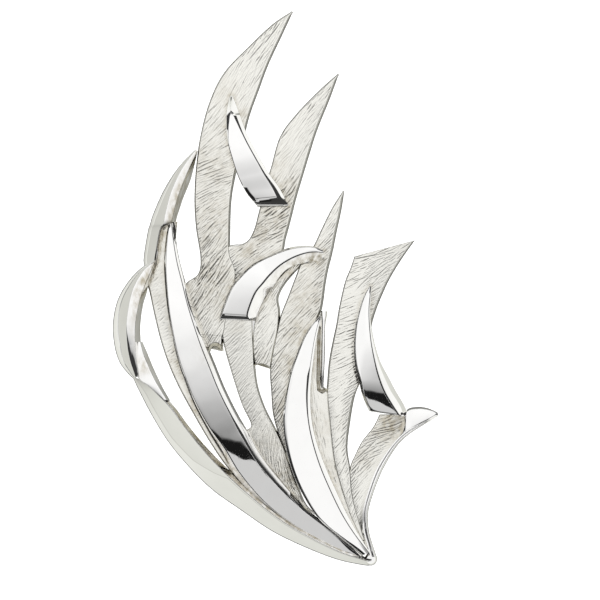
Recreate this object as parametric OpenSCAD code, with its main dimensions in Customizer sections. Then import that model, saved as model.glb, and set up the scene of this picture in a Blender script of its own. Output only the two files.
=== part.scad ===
// Magnetic brooch: a silver casting of upswept plumes and polished crescents, with a magnet bar on its back.
// It lies on its back. +Z points at the viewer, +Y runs up the brooch and +X to the viewer's right.
// The origin is the middle of the magnet's back face. All sizes are in millimetres.

/* [Casting] */
// Height of the brooch from its foot nub to its tallest plume tip
brooch_h = 69.4; // [60:0.1:80]
// Height of the casting's hollow back above the cloth, at the middle
dome_h = 3.4; // [3.2:0.1:4.2]
// Thickness of the textured plates at their edges
plate_t = 1.1; // [0.9:0.05:1.4]
// Extra thickness of a textured plate along its middle
plate_crown = 0.35; // [0.1:0.05:0.6]
// Plan width of the slope along a plate's edge
plate_edge = 0.3; // [0.1:0.05:0.4]
// Extra height along the middle of a polished face
face_crown = 0.2; // [0.05:0.05:0.4]

/* [Magnet] */
// Length of the magnet bar
magnet_l = 12.5; // [9:0.1:12.5]
// Width of the magnet bar
magnet_w = 8; // [6:0.1:8]
// Thickness of the magnet bar
magnet_t = 2.4; // [1.6:0.1:2.6]
// Glue line between the magnet and its seat
glue_gap = 0.05; // [0.02:0.01:0.1]

/* [Hidden] */

// The tables give plan places on the brooch's own drawing, which has X from 14 to 55 and Y from 4.2 to 73.6.
// The magnet's middle lies at datum on that drawing.
drawing_h = 69.4;
datum = [30, 38.25];
plan_scale = brooch_h / drawing_h;

// The casting's back is a shallow dome: dome_h over its middle, falling by 1 mm at one fall length away.
dome_mid = [33, 36];
dome_fall = [12.5, 24];
// Steps from one table row to the next
steps = 2;

// Every table has one row for each section across a blade: the left edge's x and y, then the right edge's.
// A polished blade or a rim has three more columns: the height of its face above the dome, then the plan
// widths of the slopes along its left and right edges.
RISE = 4;
SLOPE_L = 5;
SLOPE_R = 6;

// Plume 1, the tallest, from its tip down to its root beside the long crest
PLUME_1 = [
    [36.50, 73.60, 36.62, 73.50],
    [34.10, 72.00, 35.35, 70.75],
    [31.00, 69.10, 33.60, 67.00],
    [28.00, 65.90, 32.40, 63.80],
    [26.20, 62.30, 31.15, 60.30],
    [25.05, 58.00, 30.40, 57.00],
    [24.50, 54.00, 29.50, 53.20],
    [24.30, 50.00, 28.95, 50.00],
    [24.50, 46.50, 28.80, 46.30],
    [25.05, 42.80, 28.85, 43.40],
    [24.75, 40.75, 29.60, 41.00],
    [23.20, 39.40, 29.20, 38.60],
    [23.60, 37.00, 28.60, 36.20],
    [24.60, 34.00, 28.20, 33.60],
    [25.30, 32.90, 27.95, 32.90],
    [25.90, 31.60, 27.90, 31.95],
    [26.15, 30.60, 27.95, 31.15],
];

// Plume 2, from its tip down and round through the web into plume 1
PLUME_2 = [
    [42.25, 65.80, 42.35, 65.70],
    [40.00, 63.80, 41.30, 62.80],
    [37.00, 60.70, 39.75, 58.95],
    [35.00, 57.90, 38.85, 56.20],
    [33.90, 54.20, 37.85, 52.90],
    [33.00, 51.20, 37.00, 50.00],
    [32.30, 48.30, 36.35, 47.40],
    [31.75, 46.30, 35.75, 45.20],
    [31.00, 44.95, 35.20, 43.20],
    [29.90, 44.40, 33.00, 41.20],
    [28.50, 44.25, 30.50, 39.60],
    [26.80, 43.00, 28.80, 38.60],
];

// Plume 3, the small spike, and the long leaf under it down to the seam beside the short crest
PLUME_3 = [
    [42.88, 51.15, 43.05, 51.10],
    [41.50, 49.00, 42.70, 48.80],
    [40.10, 46.20, 42.10, 46.00],
    [39.20, 44.30, 41.60, 43.50],
    [37.75, 42.45, 41.05, 41.30],
    [37.10, 40.80, 40.70, 39.40],
    [36.00, 37.90, 40.30, 36.60],
    [35.10, 35.60, 39.70, 35.00],
    [34.60, 33.50, 38.90, 33.30],
    [34.05, 31.00, 37.90, 31.00],
    [33.75, 28.60, 37.20, 28.80],
    [33.90, 26.00, 36.60, 26.00],
    [34.10, 23.40, 36.40, 23.60],
    [34.70, 21.00, 36.50, 20.90],
    [35.70, 18.40, 36.80, 18.60],
];

// Plume 4, the flag at the right: its slanted top edge first, then down its tail
PLUME_4 = [
    [44.30, 42.95, 51.88, 44.98],
    [43.85, 41.60, 50.20, 42.60],
    [43.20, 40.00, 48.75, 40.20],
    [42.75, 38.30, 47.85, 38.30],
    [42.35, 36.40, 47.05, 36.30],
    [42.00, 34.30, 46.50, 34.40],
    [41.50, 32.00, 46.30, 32.00],
    [41.10, 29.70, 46.20, 29.70],
    [40.90, 27.40, 44.95, 27.00],
    [40.80, 25.30, 44.30, 25.20],
    [41.20, 22.00, 43.75, 22.00],
    [41.50, 19.00, 43.45, 19.00],
    [41.90, 16.60, 43.80, 16.40],
    [42.80, 13.50, 44.10, 13.20],
    [43.90, 10.30, 44.80, 10.20],
    [45.30, 7.40, 45.70, 7.40],
];

// Left leaf, between the long crest and the middle leaf
LEAF_LEFT = [
    [27.50, 35.20, 31.72, 35.20],
    [27.75, 33.00, 31.75, 33.00],
    [28.20, 31.00, 31.85, 31.00],
    [28.80, 28.90, 31.95, 29.00],
    [29.45, 26.80, 32.30, 26.60],
    [30.30, 24.30, 33.15, 24.10],
    [31.40, 21.90, 34.30, 21.80],
    [30.75, 20.95, 35.00, 20.40],
    [31.90, 19.00, 35.75, 18.70],
    [33.10, 17.30, 36.30, 17.00],
    [35.00, 15.00, 37.20, 14.50],
    [37.30, 12.30, 38.30, 12.00],
    [39.30, 10.70, 39.75, 10.55],
];

// Middle leaf, under crescent B
LEAF_MIDDLE = [
    [36.90, 42.50, 37.65, 41.75],
    [34.90, 40.40, 35.75, 39.60],
    [33.30, 38.40, 34.85, 37.80],
    [32.10, 36.00, 35.05, 36.00],
    [31.65, 33.80, 34.85, 33.60],
    [31.60, 31.40, 34.35, 31.20],
    [31.85, 29.35, 33.95, 28.85],
];

// Left strip, between the side rim and the long crest
STRIP_LEFT = [
    [20.40, 47.30, 21.30, 47.30],
    [19.70, 45.00, 21.20, 45.00],
    [19.20, 42.30, 21.30, 42.30],
    [18.30, 40.40, 21.40, 40.40],
    [18.75, 38.20, 21.60, 38.20],
    [19.35, 35.40, 21.90, 35.80],
    [20.10, 32.40, 22.60, 33.00],
    [21.10, 29.40, 23.40, 30.10],
    [22.50, 26.30, 24.60, 27.10],
    [24.30, 23.00, 25.90, 24.00],
    [26.00, 20.10, 27.30, 21.10],
    [27.70, 17.50, 29.20, 18.80],
    [29.40, 15.40, 30.70, 16.60],
    [31.60, 13.20, 32.40, 14.20],
];

// Slot strip, the recess at the right of the short crest
STRIP_SLOT = [
    [40.20, 36.10, 40.85, 36.05],
    [39.70, 34.60, 40.60, 34.60],
    [39.10, 32.00, 40.50, 32.00],
    [38.60, 29.20, 40.40, 29.20],
    [38.35, 26.90, 40.30, 27.00],
    [38.25, 25.60, 41.10, 26.00],
    [38.20, 24.00, 41.35, 24.10],
    [38.50, 21.00, 41.80, 21.00],
    [39.30, 17.60, 42.20, 17.60],
    [40.70, 13.80, 43.10, 14.20],
    [42.60, 10.40, 44.30, 11.00],
    [45.30, 7.00, 45.90, 7.30],
];

// Tail leaf, at the lower right
LEAF_TAIL = [
    [47.45, 23.20, 50.70, 23.20],
    [46.60, 21.55, 50.60, 21.30],
    [45.30, 19.90, 49.50, 19.70],
    [44.40, 18.15, 48.30, 18.10],
    [43.75, 16.50, 47.20, 16.20],
    [43.70, 14.20, 46.50, 14.20],
    [44.10, 12.00, 45.90, 12.00],
    [44.60, 9.80, 45.80, 9.80],
    [45.30, 7.60, 46.10, 7.60],
    [46.00, 6.00, 46.60, 6.00],
];

// Crescent A, over plumes 1 and 2: from its tip down to its blunt end
CRESCENT_A = [
    [28.75, 63.05, 29.05, 63.05, 1.90, 0.05, 0.05],
    [28.50, 62.00, 29.42, 62.15, 2.25, 0.15, 0.30],
    [28.30, 60.60, 29.95, 60.75, 2.50, 0.25, 0.45],
    [28.40, 57.60, 30.90, 58.20, 2.95, 0.12, 0.42],
    [29.00, 55.20, 32.10, 55.90, 3.02, 0.10, 0.42],
    [29.85, 52.70, 33.50, 53.50, 2.82, 0.10, 0.42],
    [30.80, 50.90, 34.90, 51.55, 2.62, 0.18, 0.42],
    [31.75, 49.70, 35.85, 49.80, 2.50, 0.30, 0.42],
    [32.20, 49.15, 36.20, 49.20, 2.45, 0.34, 0.40],
];

// Crescent B, the hook over the leaves: from its blunt end round to its tip
CRESCENT_B = [
    [27.40, 35.10, 31.90, 34.90, 3.00, 0.25, 0.90],
    [27.70, 36.30, 32.25, 35.90, 3.05, 0.25, 1.20],
    [28.75, 38.90, 33.20, 38.00, 3.13, 0.25, 1.30],
    [30.00, 40.50, 34.20, 39.20, 3.15, 0.25, 1.30],
    [31.50, 41.90, 34.85, 40.25, 3.10, 0.25, 1.05],
    [33.50, 43.00, 35.85, 41.30, 2.90, 0.25, 0.90],
    [36.00, 44.00, 37.30, 41.95, 2.70, 0.25, 1.00],
    [38.10, 44.30, 38.75, 42.10, 2.45, 0.20, 1.30],
    [39.40, 44.12, 39.85, 42.25, 2.25, 0.12, 1.25],
    [40.40, 43.70, 40.55, 42.60, 2.00, 0.05, 0.80],
];

// Crescent C, over plume 4: from its tip down to its blunt end
CRESCENT_C = [
    [46.15, 39.25, 46.45, 39.20, 1.46, 0.05, 0.05],
    [45.40, 38.00, 46.40, 37.90, 1.86, 0.20, 0.12],
    [44.85, 36.40, 46.30, 36.40, 2.16, 0.25, 0.15],
    [44.40, 34.40, 46.40, 34.50, 2.40, 0.25, 0.20],
    [44.20, 31.80, 46.85, 32.10, 2.54, 0.25, 0.40],
    [44.35, 29.30, 47.60, 29.70, 2.54, 0.28, 0.65],
    [44.90, 27.20, 48.50, 28.00, 2.47, 0.30, 1.05],
    [45.25, 25.70, 49.45, 26.20, 2.33, 0.28, 1.30],
    [45.85, 24.20, 50.55, 24.30, 2.08, 0.25, 1.35],
    [46.15, 23.60, 51.00, 22.90, 1.90, 0.22, 1.00],
];

// Long crest: from its tip beside the upper rim down to the foot
CREST_LONG = [
    [21.15, 47.30, 22.20, 47.30, 1.75, 0.05, 0.75],
    [20.70, 45.00, 22.05, 45.00, 2.25, 0.20, 0.35],
    [20.50, 42.00, 22.50, 42.30, 2.65, 0.25, 0.35],
    [20.65, 39.10, 23.20, 39.70, 2.95, 0.25, 0.40],
    [20.95, 36.10, 24.00, 36.90, 3.10, 0.25, 0.50],
    [21.45, 33.20, 25.00, 34.10, 3.16, 0.25, 0.62],
    [22.05, 30.50, 25.90, 31.90, 3.16, 0.25, 0.75],
    [22.95, 27.70, 26.90, 29.50, 3.15, 0.28, 0.78],
    [24.20, 24.55, 28.10, 26.55, 3.09, 0.30, 0.78],
    [25.85, 21.40, 29.55, 23.60, 2.95, 0.35, 0.75],
    [27.60, 18.50, 31.05, 20.95, 2.76, 0.60, 0.70],
    [29.60, 15.30, 32.75, 17.90, 2.60, 0.60, 0.60],
    [32.90, 11.95, 35.45, 14.50, 2.48, 0.35, 0.45],
    [36.65, 9.20, 38.35, 11.45, 2.25, 0.25, 0.20],
    [40.40, 7.15, 41.70, 8.70, 1.95, 0.20, 0.12],
    [43.40, 5.75, 44.10, 6.65, 1.75, 0.12, 0.10],
    [45.30, 5.05, 45.60, 5.35, 1.60, 0.05, 0.05],
];

// Short crest: from its tip beside the slot down to the foot
CREST_SHORT = [
    [39.90, 35.50, 40.15, 35.40, 1.80, 0.05, 0.05],
    [38.80, 34.30, 39.85, 34.00, 2.30, 0.20, 0.20],
    [37.85, 32.70, 39.50, 32.20, 2.60, 0.22, 0.25],
    [36.95, 30.50, 39.20, 30.00, 2.80, 0.25, 0.30],
    [36.20, 28.30, 38.95, 27.90, 2.90, 0.25, 0.32],
    [35.65, 25.60, 38.80, 25.40, 2.95, 0.25, 0.35],
    [35.38, 22.60, 38.95, 22.70, 3.00, 0.25, 0.38],
    [35.65, 19.60, 39.50, 20.00, 3.00, 0.25, 0.42],
    [36.45, 16.30, 40.55, 17.00, 2.95, 0.25, 0.55],
    [37.75, 13.30, 41.85, 14.00, 2.85, 0.25, 0.60],
    [39.70, 10.30, 43.30, 10.90, 2.65, 0.22, 0.55],
    [42.20, 8.00, 44.70, 8.40, 2.45, 0.18, 0.40],
    [45.30, 5.60, 46.30, 5.90, 2.20, 0.08, 0.12],
];

// Slot ledge, the thin raised edge at the right of the slot strip, from its knob down
SLOT_LEDGE = [
    [40.12, 36.15, 40.90, 36.10, 1.15, 0.15, 0.15],
    [40.18, 35.50, 40.86, 35.45, 1.30, 0.12, 0.15],
    [40.24, 34.40, 40.68, 34.40, 1.32, 0.10, 0.10],
    [40.24, 32.20, 40.66, 32.20, 1.35, 0.08, 0.10],
    [40.20, 29.60, 40.58, 29.60, 1.35, 0.08, 0.08],
    [40.16, 28.00, 40.50, 28.00, 1.30, 0.06, 0.08],
    [40.14, 26.50, 40.44, 26.50, 1.10, 0.05, 0.06],
];

// Upper rim: its outer wall slopes down to the cloth, from plume 1 down to the side rim
RIM_UPPER = [
    [24.45, 56.35, 24.70, 56.10, 1.70, 0.05, 0.05],
    [22.30, 54.10, 23.90, 52.75, 2.30, 0.50, 0.75],
    [20.50, 51.30, 22.90, 50.20, 2.60, 0.95, 0.70],
    [19.15, 48.30, 22.20, 48.10, 2.60, 1.50, 0.55],
    [18.75, 47.00, 21.80, 47.10, 2.55, 1.70, 0.50],
    [18.45, 46.00, 20.35, 46.30, 2.35, 1.50, 0.20],
    [17.95, 42.80, 19.90, 43.00, 1.80, 1.40, 0.20],
    [18.05, 41.75, 19.75, 41.95, 1.50, 1.20, 0.20],
];

// Side rim, at the far left
RIM_SIDE = [
    [19.25, 42.45, 19.45, 42.25, 1.80, 0.10, 0.05],
    [17.50, 41.40, 18.80, 40.30, 2.50, 0.50, 0.30],
    [15.80, 39.50, 18.30, 38.30, 2.80, 1.00, 0.55],
    [14.60, 37.20, 17.85, 36.70, 2.95, 1.55, 0.55],
    [14.10, 34.40, 17.55, 34.30, 3.00, 1.70, 0.65],
    [14.30, 31.80, 17.60, 32.00, 3.00, 1.60, 0.70],
    [14.90, 29.80, 17.55, 30.10, 2.95, 1.35, 0.50],
    [15.90, 28.40, 17.60, 28.90, 2.88, 0.80, 0.35],
    [16.55, 27.75, 17.60, 28.00, 2.80, 0.40, 0.25],
];

// Spur that joins the side rim's inside to the lower rim
RIM_SPUR = [
    [17.20, 32.25, 17.80, 32.30, 2.10, 0.05, 0.25],
    [16.95, 30.60, 18.45, 30.80, 2.25, 0.05, 0.50],
    [17.10, 29.00, 19.10, 29.20, 2.38, 0.08, 0.50],
    [17.35, 27.60, 19.72, 27.85, 2.42, 0.10, 0.50],
    [18.50, 26.75, 20.40, 26.45, 2.42, 0.10, 0.48],
    [20.20, 25.10, 21.30, 24.90, 2.35, 0.10, 0.45],
];

// Lower rim: its broad outer face slopes down to the cloth, from the side rim to the foot
RIM_LOWER = [
    [16.45, 28.10, 17.90, 27.30, 2.20, 1.25, 0.30],
    [17.60, 25.70, 19.80, 26.10, 2.30, 1.75, 0.40],
    [19.05, 22.95, 21.70, 24.30, 2.30, 2.50, 0.40],
    [21.00, 19.80, 23.60, 21.75, 2.30, 2.80, 0.40],
    [23.50, 16.75, 25.90, 19.00, 2.30, 2.75, 0.45],
    [26.50, 13.80, 28.70, 16.20, 2.30, 2.60, 0.55],
    [30.00, 11.30, 31.90, 13.30, 2.30, 2.12, 0.56],
    [34.00, 8.60, 35.40, 10.50, 2.30, 1.72, 0.53],
    [38.00, 6.65, 39.00, 8.30, 2.20, 1.34, 0.48],
    [42.00, 5.10, 42.40, 6.60, 2.10, 1.00, 0.42],
    [45.40, 4.35, 45.60, 5.40, 2.10, 0.65, 0.32],
    [46.40, 4.33, 46.45, 5.20, 2.00, 0.60, 0.20],
];

// Fin, the smooth point at the right end of the right rim
FIN = [
    [54.72, 23.45, 54.80, 23.10, 1.75, 0.05, 0.10],
    [53.50, 23.98, 53.60, 22.25, 1.90, 0.20, 0.30],
    [52.20, 24.15, 52.20, 21.50, 2.00, 0.25, 0.35],
    [50.90, 23.80, 50.95, 20.70, 2.05, 0.25, 0.40],
    [50.70, 22.30, 50.45, 20.30, 2.00, 0.20, 0.35],
    [50.30, 20.90, 49.95, 19.90, 1.90, 0.10, 0.25],
];

// Right rim: its outer wall drops to the cloth, from the fin down to the foot
RIM_RIGHT = [
    [54.65, 23.30, 54.80, 23.05, 1.40, 0.05, 0.05],
    [52.80, 22.30, 53.05, 21.95, 1.80, 0.08, 0.20],
    [50.60, 21.00, 51.00, 20.60, 2.00, 0.08, 0.25],
    [48.85, 19.20, 49.45, 19.00, 2.00, 0.10, 0.30],
    [47.10, 16.50, 47.85, 16.30, 1.90, 0.10, 0.35],
    [46.00, 13.60, 46.72, 13.50, 1.90, 0.10, 0.35],
    [45.35, 11.00, 46.05, 11.00, 1.90, 0.10, 0.40],
    [45.40, 8.80, 46.10, 8.80, 1.90, 0.10, 0.40],
    [45.90, 6.90, 46.60, 6.90, 1.90, 0.10, 0.35],
    [46.30, 5.40, 47.10, 5.40, 1.90, 0.10, 0.30],
];

// How thick each plate's edge is, against plate_t
TEXTURED = [
    [PLUME_1, 1.00], [PLUME_2, 0.95], [PLUME_3, 0.95], [PLUME_4, 1.00], [LEAF_LEFT, 0.85],
    [LEAF_MIDDLE, 0.75], [STRIP_LEFT, 0.70], [STRIP_SLOT, 0.65], [LEAF_TAIL, 0.80],
];
POLISHED = [CRESCENT_A, CRESCENT_B, CRESCENT_C, CREST_LONG, CREST_SHORT, SLOT_LEDGE, FIN];
// Rims whose left wall reaches the cloth
RIMS = [RIM_UPPER, RIM_SIDE, RIM_LOWER];
// How deep the short bevel along a polished face's edge is
bevel_drop = 0.45;
// Height of the foot of a rim's outer wall, where it starts to slope
rim_foot = 0.5;

// How far a polished blade's back stands above the plates' backs, and how far a rim's stands below them
let_in = 0.3;
rim_lip = 0.25;
// Least upright side of a section
thin = 0.2;
// Most of a section's width that its two slopes take together
slope_share = 0.85;
// Width from which a face has its whole crown
full_width = 3;

// Foot nub: a flat button where all the blades meet, its edge chamfered
nub_mid = [46.35, 5.10];
nub_r = 0.80;
nub_chamfer = 0.30;
nub_top = 2.6;
nub_sides = 24;

// Seat of the magnet, cut flat at the glue line, and how far it reaches into the casting
seat_bite = 0.5;
seat_top = dome_h + seat_bite;
bar_sides = 64;

// Blend one column between rows b and c, with a and d as their neighbours (t runs 0 to 1)
function blend(a, b, c, d, t) =
    b + t * ((c - a) / 2 + t * (a - 2.5 * b + 2 * c - 0.5 * d + t * (1.5 * (b - c) + (d - a) / 2)));

// A table with extra rows on a smooth curve through its own
function smooth(rows) = let (last = len(rows) - 1) concat(
    [for (i = [0:last - 1], k = [0:steps - 1])
        blend(rows[max(i - 1, 0)], rows[i], rows[i + 1], rows[min(i + 2, last)], k / steps)],
    [rows[last]]);

// Height of the casting's back above the cloth at a place on the drawing
function dome(p) = dome_h
    - pow((p[0] - dome_mid[0]) / dome_fall[0], 2)
    - pow((p[1] - dome_mid[1]) / dome_fall[1], 2);

// A drawing place at height z, in the model's own axes
function place(p, z) = [(p[0] - datum[0]) * plan_scale, (p[1] - datum[1]) * plan_scale, z];

// Left and right edge of a row
function left_of(row) = [row[0], row[1]];
function right_of(row) = [row[2], row[3]];

// Section across a blade: a back, upright sides, a slope at each edge and a crowned face.
// The two slopes never take more than slope_share of the width. The two backs are heights above the cloth.
function section(left, right, rise, slope_l, slope_r, drop_l, drop_r, crown, back_l, back_r) =
    let (
        width = norm(right - left),
        across = (right - left) / width,
        fit = min(1, slope_share * width / (slope_l + slope_r)),
        in_l = left + across * slope_l * fit,
        in_r = right - across * slope_r * fit,
        middle = (in_l + in_r) / 2
    ) [
        place(left, back_l),
        place(right, back_r),
        place(right, max(dome(right) + rise - drop_r, back_r + thin)),
        place(in_r, dome(in_r) + rise),
        place(middle, dome(middle) + rise + crown * min(1, width / full_width)),
        place(in_l, dome(in_l) + rise),
        place(left, max(dome(left) + rise - drop_l, back_l + thin)),
    ];

// Faces of the solid between two sections of count points each
function link_faces(count) = concat(
    [[for (i = [0:count - 1]) i]],
    [[for (i = [count - 1:-1:0]) count + i]],
    [for (i = [0:count - 1]) let (j = (i + 1) % count) [i, count + i, count + j, j]]);

module chain(sections) {
    for (i = [0:len(sections) - 2])
        hull()
            polyhedron(concat(sections[i], sections[i + 1]), link_faces(len(sections[i])));
}

// A textured plate of edge thickness rise
module plate(rows, rise) {
    chain([for (row = smooth(rows)) let (left = left_of(row), right = right_of(row))
        section(left, right, rise, plate_edge, plate_edge, plate_edge, plate_edge, plate_crown,
            dome(left), dome(right))]);
}

// A polished blade, its back let into the plates
module ridge(rows) {
    chain([for (row = smooth(rows)) let (left = left_of(row), right = right_of(row))
        section(left, right, row[RISE], row[SLOPE_L], row[SLOPE_R], bevel_drop, bevel_drop, face_crown,
            dome(left) + let_in, dome(right) + let_in)]);
}

// A rim whose left wall slopes down to the cloth
module rim(rows) {
    chain([for (row = smooth(rows)) let (left = left_of(row), right = right_of(row))
        section(left, right, row[RISE], row[SLOPE_L], row[SLOPE_R], row[RISE] + dome(left) - rim_foot,
            bevel_drop, face_crown, 0, max(dome(right) - rim_lip, 0))]);
}

// A rim whose right wall drops to the cloth
module rim_right(rows) {
    chain([for (row = smooth(rows)) let (left = left_of(row), right = right_of(row))
        section(left, right, row[RISE], row[SLOPE_L], row[SLOPE_R], bevel_drop, row[RISE] / 2, 0,
            max(dome(left) - rim_lip, 0), 0)]);
}

module nub() {
    translate(place(nub_mid, 0))
        hull() {
            cylinder(h = nub_top - nub_chamfer, r = nub_r, $fn = nub_sides);
            cylinder(h = nub_top, r = nub_r - nub_chamfer, $fn = nub_sides);
        }
}

// Stadium of the magnet bar, running along Y
module magnet_outline() {
    half = (magnet_l - magnet_w) / 2;
    translate([0, half]) circle(d = magnet_w, $fn = bar_sides);
    translate([0, -half]) circle(d = magnet_w, $fn = bar_sides);
    square([magnet_w, 2 * half], center = true);
}

// Flat pad that carries the magnet
module seat() {
    translate([0, 0, magnet_t + glue_gap])
        linear_extrude(seat_top - magnet_t - glue_gap) magnet_outline();
}

module silver_body() {
    color([0.86, 0.86, 0.84])
        union() {
            for (entry = TEXTURED) plate(entry[0], plate_t * entry[1]);
            for (rows = POLISHED) ridge(rows);
            for (rows = RIMS) rim(rows);
            ridge(RIM_SPUR);
            rim_right(RIM_RIGHT);
            nub();
            seat();
        }
}

module magnet_clasp() {
    color([0.62, 0.63, 0.65])
        linear_extrude(magnet_t) magnet_outline();
}

silver_body();
magnet_clasp();
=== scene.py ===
# Magnetic brooch: a silver casting of upswept plumes and polished crescents, lying on its back with a
# magnet bar behind it. Every blade is a short table of sections on the brooch's own drawing, in
# millimetres, with X from 14 to 55 and Y from 4.2 to 73.6.
import math

import bpy
import numpy as np
from bpy.props import FloatProperty, FloatVectorProperty, IntProperty, PointerProperty
from mathutils.kdtree import KDTree
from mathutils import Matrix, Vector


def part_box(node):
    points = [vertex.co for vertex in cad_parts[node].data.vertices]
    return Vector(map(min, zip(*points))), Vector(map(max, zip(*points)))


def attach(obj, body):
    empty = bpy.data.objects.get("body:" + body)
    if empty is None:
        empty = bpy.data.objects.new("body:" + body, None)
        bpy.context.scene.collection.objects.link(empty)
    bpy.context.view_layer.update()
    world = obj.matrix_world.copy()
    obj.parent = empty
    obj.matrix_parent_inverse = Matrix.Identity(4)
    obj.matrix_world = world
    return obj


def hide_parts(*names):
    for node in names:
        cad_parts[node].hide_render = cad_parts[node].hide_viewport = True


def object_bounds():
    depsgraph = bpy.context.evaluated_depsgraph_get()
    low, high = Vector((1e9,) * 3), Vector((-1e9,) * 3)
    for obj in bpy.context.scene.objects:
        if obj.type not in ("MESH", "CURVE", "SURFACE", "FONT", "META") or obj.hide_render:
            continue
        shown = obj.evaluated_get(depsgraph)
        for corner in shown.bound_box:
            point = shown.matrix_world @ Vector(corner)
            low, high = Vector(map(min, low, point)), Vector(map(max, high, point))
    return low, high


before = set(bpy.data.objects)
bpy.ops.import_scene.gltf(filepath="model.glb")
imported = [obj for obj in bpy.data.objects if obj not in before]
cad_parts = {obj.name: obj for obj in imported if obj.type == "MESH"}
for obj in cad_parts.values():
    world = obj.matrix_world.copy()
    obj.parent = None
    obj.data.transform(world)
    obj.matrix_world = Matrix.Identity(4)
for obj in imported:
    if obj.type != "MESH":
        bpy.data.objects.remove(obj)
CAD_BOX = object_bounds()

bl_info = {
    "name": "Magnetic brooch",
    "version": (1, 0, 0),
    "blender": (4, 5, 0),
    "location": "View3D > Sidebar > Brooch",
    "description": "Builds a silver magnetic brooch of textured plumes and polished crescents",
    "category": "Add Mesh",
}

MM = 0.001
# The drawing place that lies at the model's origin
DATUM = (30.0, 38.25)
# The drawing place at the middle of the view
VIEW_MIDDLE = (37.5, 37.5)

# Plates: the left edge's x and y and the right edge's x and y, section after section along the blade.
# Ridges and rims have three more columns: the face's height above the dome, and how wide the slopes at
# its left and right are, seen from the front.

# Plume 1, the tallest, from its tip down to its root beside the long crest
PLUME_1 = (
    (36.5, 73.6, 36.62, 73.5), (34.1, 72, 35.35, 70.75), (31, 69.1, 33.6, 67), (28, 65.9, 32.4, 63.8),
    (26.2, 62.3, 31.15, 60.3), (25.05, 58, 30.4, 57), (24.5, 54, 29.5, 53.2), (24.3, 50, 28.95, 50),
    (24.5, 46.5, 28.8, 46.3), (25.05, 42.8, 28.85, 43.4), (24.75, 40.75, 29.6, 41),
    (23.2, 39.4, 29.2, 38.6), (23.6, 37, 28.6, 36.2), (24.6, 34, 28.2, 33.6), (25.3, 32.9, 27.95, 32.9),
    (25.9, 31.6, 27.9, 31.95), (26.15, 30.6, 27.95, 31.15),
)

# Plume 2, from its tip down and round through the web into plume 1
PLUME_2 = (
    (42.25, 65.8, 42.35, 65.7), (40, 63.8, 41.3, 62.8), (37, 60.7, 39.75, 58.95), (35, 57.9, 38.85, 56.2),
    (33.9, 54.2, 37.85, 52.9), (33, 51.2, 37, 50), (32.3, 48.3, 36.35, 47.4), (31.75, 46.3, 35.75, 45.2),
    (31, 44.95, 35.2, 43.2), (29.9, 44.4, 33, 41.2), (28.5, 44.25, 30.5, 39.6), (26.8, 43, 28.8, 38.6),
)

# Plume 3, the small spike, and the long leaf under it down to the seam beside the short crest
PLUME_3 = (
    (42.88, 51.15, 43.05, 51.1), (41.5, 49, 42.7, 48.8), (40.1, 46.2, 42.1, 46), (39.2, 44.3, 41.6, 43.5),
    (37.75, 42.45, 41.05, 41.3), (37.1, 40.8, 40.7, 39.4), (36, 37.9, 40.3, 36.6), (35.1, 35.6, 39.7, 35),
    (34.6, 33.5, 38.9, 33.3), (34.05, 31, 37.9, 31), (33.75, 28.6, 37.2, 28.8), (33.9, 26, 36.6, 26),
    (34.1, 23.4, 36.4, 23.6), (34.7, 21, 36.5, 20.9), (35.7, 18.4, 36.8, 18.6),
)

# Plume 4, the flag at the right: its slanted top edge first, then down its tail
PLUME_4 = (
    (44.3, 42.95, 51.88, 44.98), (43.85, 41.6, 50.2, 42.6), (43.2, 40, 48.75, 40.2),
    (42.75, 38.3, 47.85, 38.3), (42.35, 36.4, 47.05, 36.3), (42, 34.3, 46.5, 34.4), (41.5, 32, 46.3, 32),
    (41.1, 29.7, 46.2, 29.7), (40.9, 27.4, 44.95, 27), (40.8, 25.3, 44.3, 25.2), (41.2, 22, 43.75, 22),
    (41.5, 19, 43.45, 19), (41.9, 16.6, 43.8, 16.4), (42.8, 13.5, 44.1, 13.2), (43.9, 10.3, 44.8, 10.2),
    (45.3, 7.4, 45.7, 7.4),
)

# Left leaf, between the long crest and the middle leaf
LEAF_LEFT = (
    (27.5, 35.2, 31.72, 35.2), (27.75, 33, 31.75, 33), (28.2, 31, 31.85, 31), (28.8, 28.9, 31.95, 29),
    (29.45, 26.8, 32.3, 26.6), (30.3, 24.3, 33.15, 24.1), (31.4, 21.9, 34.3, 21.8),
    (30.75, 20.95, 35, 20.4), (31.9, 19, 35.75, 18.7), (33.1, 17.3, 36.3, 17), (35, 15, 37.2, 14.5),
    (37.3, 12.3, 38.3, 12), (39.3, 10.7, 39.75, 10.55),
)

# Middle leaf, under crescent B
LEAF_MIDDLE = (
    (36.9, 42.5, 37.65, 41.75), (34.9, 40.4, 35.75, 39.6), (33.3, 38.4, 34.85, 37.8), (32.1, 36, 35.05, 36),
    (31.65, 33.8, 34.85, 33.6), (31.6, 31.4, 34.35, 31.2), (31.85, 29.35, 33.95, 28.85),
)

# Left strip, between the side rim and the long crest
STRIP_LEFT = (
    (20.4, 47.3, 21.3, 47.3), (19.7, 45, 21.2, 45), (19.2, 42.3, 21.3, 42.3), (18.3, 40.4, 21.4, 40.4),
    (18.75, 38.2, 21.6, 38.2), (19.35, 35.4, 21.9, 35.8), (20.1, 32.4, 22.6, 33), (21.1, 29.4, 23.4, 30.1),
    (22.5, 26.3, 24.6, 27.1), (24.3, 23, 25.9, 24), (26, 20.1, 27.3, 21.1), (27.7, 17.5, 29.2, 18.8),
    (29.4, 15.4, 30.7, 16.6), (31.6, 13.2, 32.4, 14.2),
)

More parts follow.
